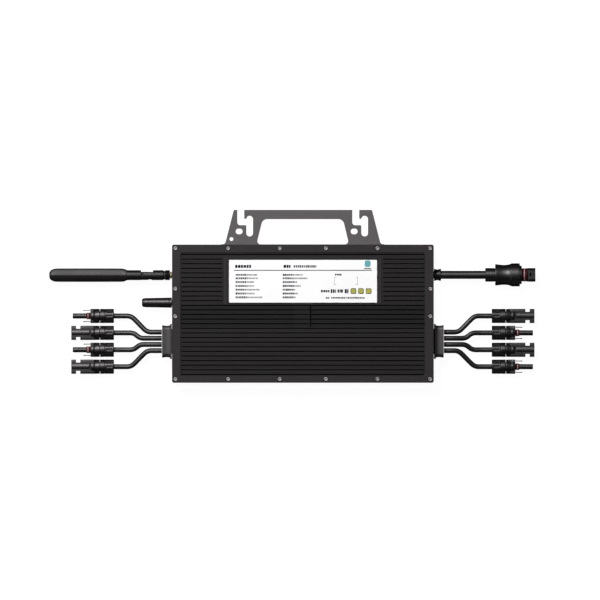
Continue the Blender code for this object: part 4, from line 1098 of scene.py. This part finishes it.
def make_ac_insert():
    """The face inside the AC plug: flattened above and below, with three contacts and a key slot."""
    insert = new_item("ac_insert", lathe((
        (0.0, 0.0060), (0.0069, 0.0060), (0.0069, 0.0090), (0.0072, 0.0093), (0.0179, 0.0093),
        (0.0183, 0.0090), (0.0183, 0.0047), (0.0179, 0.0044), (0.0103, 0.0044),
    ), 72))
    flat = ((-0.0100, 0.0010), (-0.0061, 0.0054), (0.0061, 0.0054), (0.0100, 0.0010), (0.0100, 0.0110),
            (-0.0100, 0.0110))
    cuts = bmesh.new()
    for edge in (-1, 1):
        add_loft(cuts, [[(x, y, edge * z) for y, z in flat] for x in (-0.0005, 0.0200)])
    contact_reach = 0.0024
    for degrees in (90, 210, 330):
        turn = math.radians(degrees)
        centre = (contact_reach * math.cos(turn), contact_reach * math.sin(turn))
        add_loft(cuts, [[(x, y, z) for y, z in circle(centre, 0.0010, 20)] for x in (0.0060, 0.0110)])
    carve(insert, cuts)
    carve(insert, prism(rounded_box((0.0105, 0.0128), (-0.0018, 0.0026), 0.0004, 3), 0.0034, 0.0064))
    round_edges(insert, 0.0002, PLUG_EDGE_ANGLE)
    place_piece(insert, PLUG_PLASTIC, node="ac_plug_insert",
                at=end_place(1, AC_SEAL_X, AC_Y))


# --- Antennas

PIN_PLACE = Matrix.Translation((-PIN_X, ANTENNA_Y - PIN_DROP, PORT_HEIGHT))


def knurl(_along, turn, radius):
    return -0.0002 * (radius > 0.0064) * wave(30 * turn)


def thread(along, turn, radius):
    """A fine thread on the socket's neck."""
    if radius > 0.0034 or along < 0.0026:
        return 0.0
    return -0.00022 * wave(math.tau * along / 0.0007 - turn)


def make_antenna_mount():
    turned_piece("antenna_brass_socket", BRASS, "brass", end_place(-1, PORT_X, ANTENNA_Y), (
        (-0.0046, 0.0032), (0.0, 0.0032), (0.0, 0.0044), (0.0003, 0.0047), (0.0021, 0.0047),
        (0.0024, 0.0044), (0.0024, 0.0033), (0.0086, 0.0033), (0.0086, 0.0014), (0.0070, 0.0013),
    ), 56, ripple=thread, soft=0.0002, step=0.00018, node="antenna_socket")

    nut_place = end_place(-1, ANTENNA_NUT_X, ANTENNA_Y)
    turned_piece("antenna_knurled_nut", KNURL_BLACK, "antenna_black", nut_place, (
        (0.0, 0.0066), (0.0002, 0.0068), (0.0026, 0.0068), (0.0028, 0.0065), (0.0031, 0.0065),
        (0.0033, 0.0068), (0.0062, 0.0068), (0.00628, 0.0067), (0.00628, 0.0038), (0.0, 0.0038),
    ), 120, ripple=knurl, closed=True, soft=0.0002, body="antenna_nut", node="antenna_nut")

    low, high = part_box("stub_antenna")
    stub_y = (low.y + high.y) / 2
    turned_piece("stub_antenna_body", PLUG_PLASTIC, "antenna_black", end_place(-1, PORT_X, stub_y), (
        (-0.0046, 0.0040), (0.0, 0.0040), (0.0, 0.0067), (0.0003, 0.0070), (0.0030, 0.00695),
        (0.0033, 0.0066), (0.0037, 0.0066), (0.0040, 0.0069), (0.0160, 0.0066), (0.0345, 0.0063),
        (0.0375, 0.0061), (0.0378, 0.0058), (0.0381, 0.0058), (0.0384, 0.0060), (0.0394, 0.0056),
        (0.0402, 0.0048), (0.0406, 0.0034),
    ), 72, node="stub_antenna")


def make_antenna_base():
    """A rod with a fork at its end, cut lower on +Y so that the blade can fold that way."""
    length, fork = 0.2193 - ANTENNA_BASE_X, 0.2038 - ANTENNA_BASE_X
    rod = new_item("antenna_fork", lathe((
        (0.0, 0.0056), (0.0003, 0.0059), (0.0022, 0.0059), (0.0024, 0.0065), (0.0027, 0.0068),
        (0.0142, 0.0068), (0.0144, 0.0066), (0.0148, 0.0066), (0.0150, 0.0068),
        (length + 0.001, 0.0068),
    ), 72))
    wide, pin = 0.0085, (PIN_X - ANTENNA_BASE_X, PIN_DROP)
    outline = [(-0.001, -wide), (fork, -wide), (fork, -0.0045)]
    outline += arc(pin, 0.0055, -90, 0, 14)
    outline += [(length, PIN_DROP + 0.0022), (length, wide), (-0.001, wide)]
    carve(rod, prism(outline, -wide, wide), "INTERSECT")
    slot = rounded_box((fork + 0.0020, length + 0.002), (-wide, wide), 0.0001, 1)
    carve(rod, prism(slot, -0.0033, 0.0033))
    carve(rod, prism(circle(pin, 0.0014, 28), -0.0055, 0.0055))
    round_edges(rod, 0.0002)
    place_piece(rod, ANTENNA_BLACK, "antenna_base", "antenna_base",
                at=end_place(-1, ANTENNA_BASE_X, ANTENNA_Y))
    sections = ((0.0012, -0.0054), (0.0014, -0.0052), (0.0014, 0.0052), (0.0012, 0.0054))
    hinge = new_item("antenna_pin", loft(discs((0, 0), sections)))
    place_piece(hinge, ANTENNA_BLACK, "antenna_base", "antenna_hinge_pin", at=PIN_PLACE)


def make_antenna_blade():
    """A round arm that flattens into a paddle with a ridge along its middle."""
    # Distance along X, half width, half thickness, and share of the paddle's ridged shape
    sections = (
        (0.2201, 0.0066, 0.0066, 0.0), (0.2204, 0.0068, 0.0068, 0.0), (0.2376, 0.0068, 0.0068, 0.0),
        (0.2380, 0.0068, 0.0067, 0.0), (0.2401, 0.0073, 0.0063, 0.3), (0.2406, 0.0076, 0.0059, 0.5),
        (0.2415, 0.0081, 0.0056, 0.7), (0.2432, 0.0086, 0.0054, 0.9), (0.2450, 0.0089, 0.0053, 1.0),
        (0.2475, 0.0091, 0.0051, 1.0), (0.2900, 0.0092, 0.0050, 1.0), (0.3340, 0.0091, 0.0048, 1.0),
        (0.3380, 0.0087, 0.0048, 1.0), (0.3405, 0.0079, 0.0047, 0.9), (0.3423, 0.0069, 0.0045, 0.8),
        (0.3437, 0.0055, 0.0041, 0.6), (0.3446, 0.0039, 0.0034, 0.4), (0.3450, 0.0024, 0.0024, 0.2),
    )
    rings, count = [], 96
    for along, wide, thick, share in sections:
        ring = []
        for i in range(count):
            t = math.tau * i / count
            reach = abs(math.cos(t))
            oval = abs(math.sin(t))
            fall = 0.25 * reach + 0.33 * reach ** 2
            ridged = (1.0 - fall) * math.sqrt(1.0 - reach ** 16)
            height = thick * (oval + share * (ridged - oval))
            ring.append((PIN_X - along, PIN_DROP + wide * math.cos(t), math.copysign(height, math.sin(t))))
        rings.append(ring)
    blade = new_item("antenna_paddle", loft(rings))
    inside, tongue_half = PIN_X - 0.2221, 0.0056
    tongue = [(inside, tongue_half), (inside, -tongue_half)] + arc((0.0, 0.0), tongue_half, -90, 90, 24)
    carve(blade, prism(tongue, -0.0030, 0.0030), "UNION")
    carve(blade, prism(circle((0.0, 0.0), 0.0019, 28), -0.01, 0.01))
    round_edges(blade, 0.0002, angle=40.0)
    place_piece(blade, ANTENNA_BLACK, "antenna_blade", "antenna_blade", at=PIN_PLACE)


make_cover()
make_screws()
make_bracket()
make_label()
make_glands()
make_nuts()
make_plugs()
make_ac_connector()
make_ac_insert()
make_antenna_mount()
make_antenna_base()
make_antenna_blade()
for name, surface, width in (
    ("rear_tray", CAST_BLACK, 0.0003), ("cover_gasket", RUBBER, 0.0), ("main_board", BOARD_GREEN, 0.0002),
    ("power_transformer_left", FERRITE, 0.0008), ("power_transformer_right", FERRITE, 0.0008),
    ("grid_relay", RELAY_CASE, 0.0005), ("bus_capacitor", SLEEVE, 0.0004),
):
    refine_node(name, surface, width)

for number, (lead, length, exit_point) in leads.items():
    ends = [bpy.data.objects[f"solar_nut_{number}"], bpy.data.objects[f"solar_plug_{number}"]]
    if number in ROD_PLUGS:
        ends.append(bpy.data.objects[f"rod_seal_{number}"])
        ends += [bpy.data.objects[f"latch_arm_{number}_{word}"] for word in ("upper", "lower")]
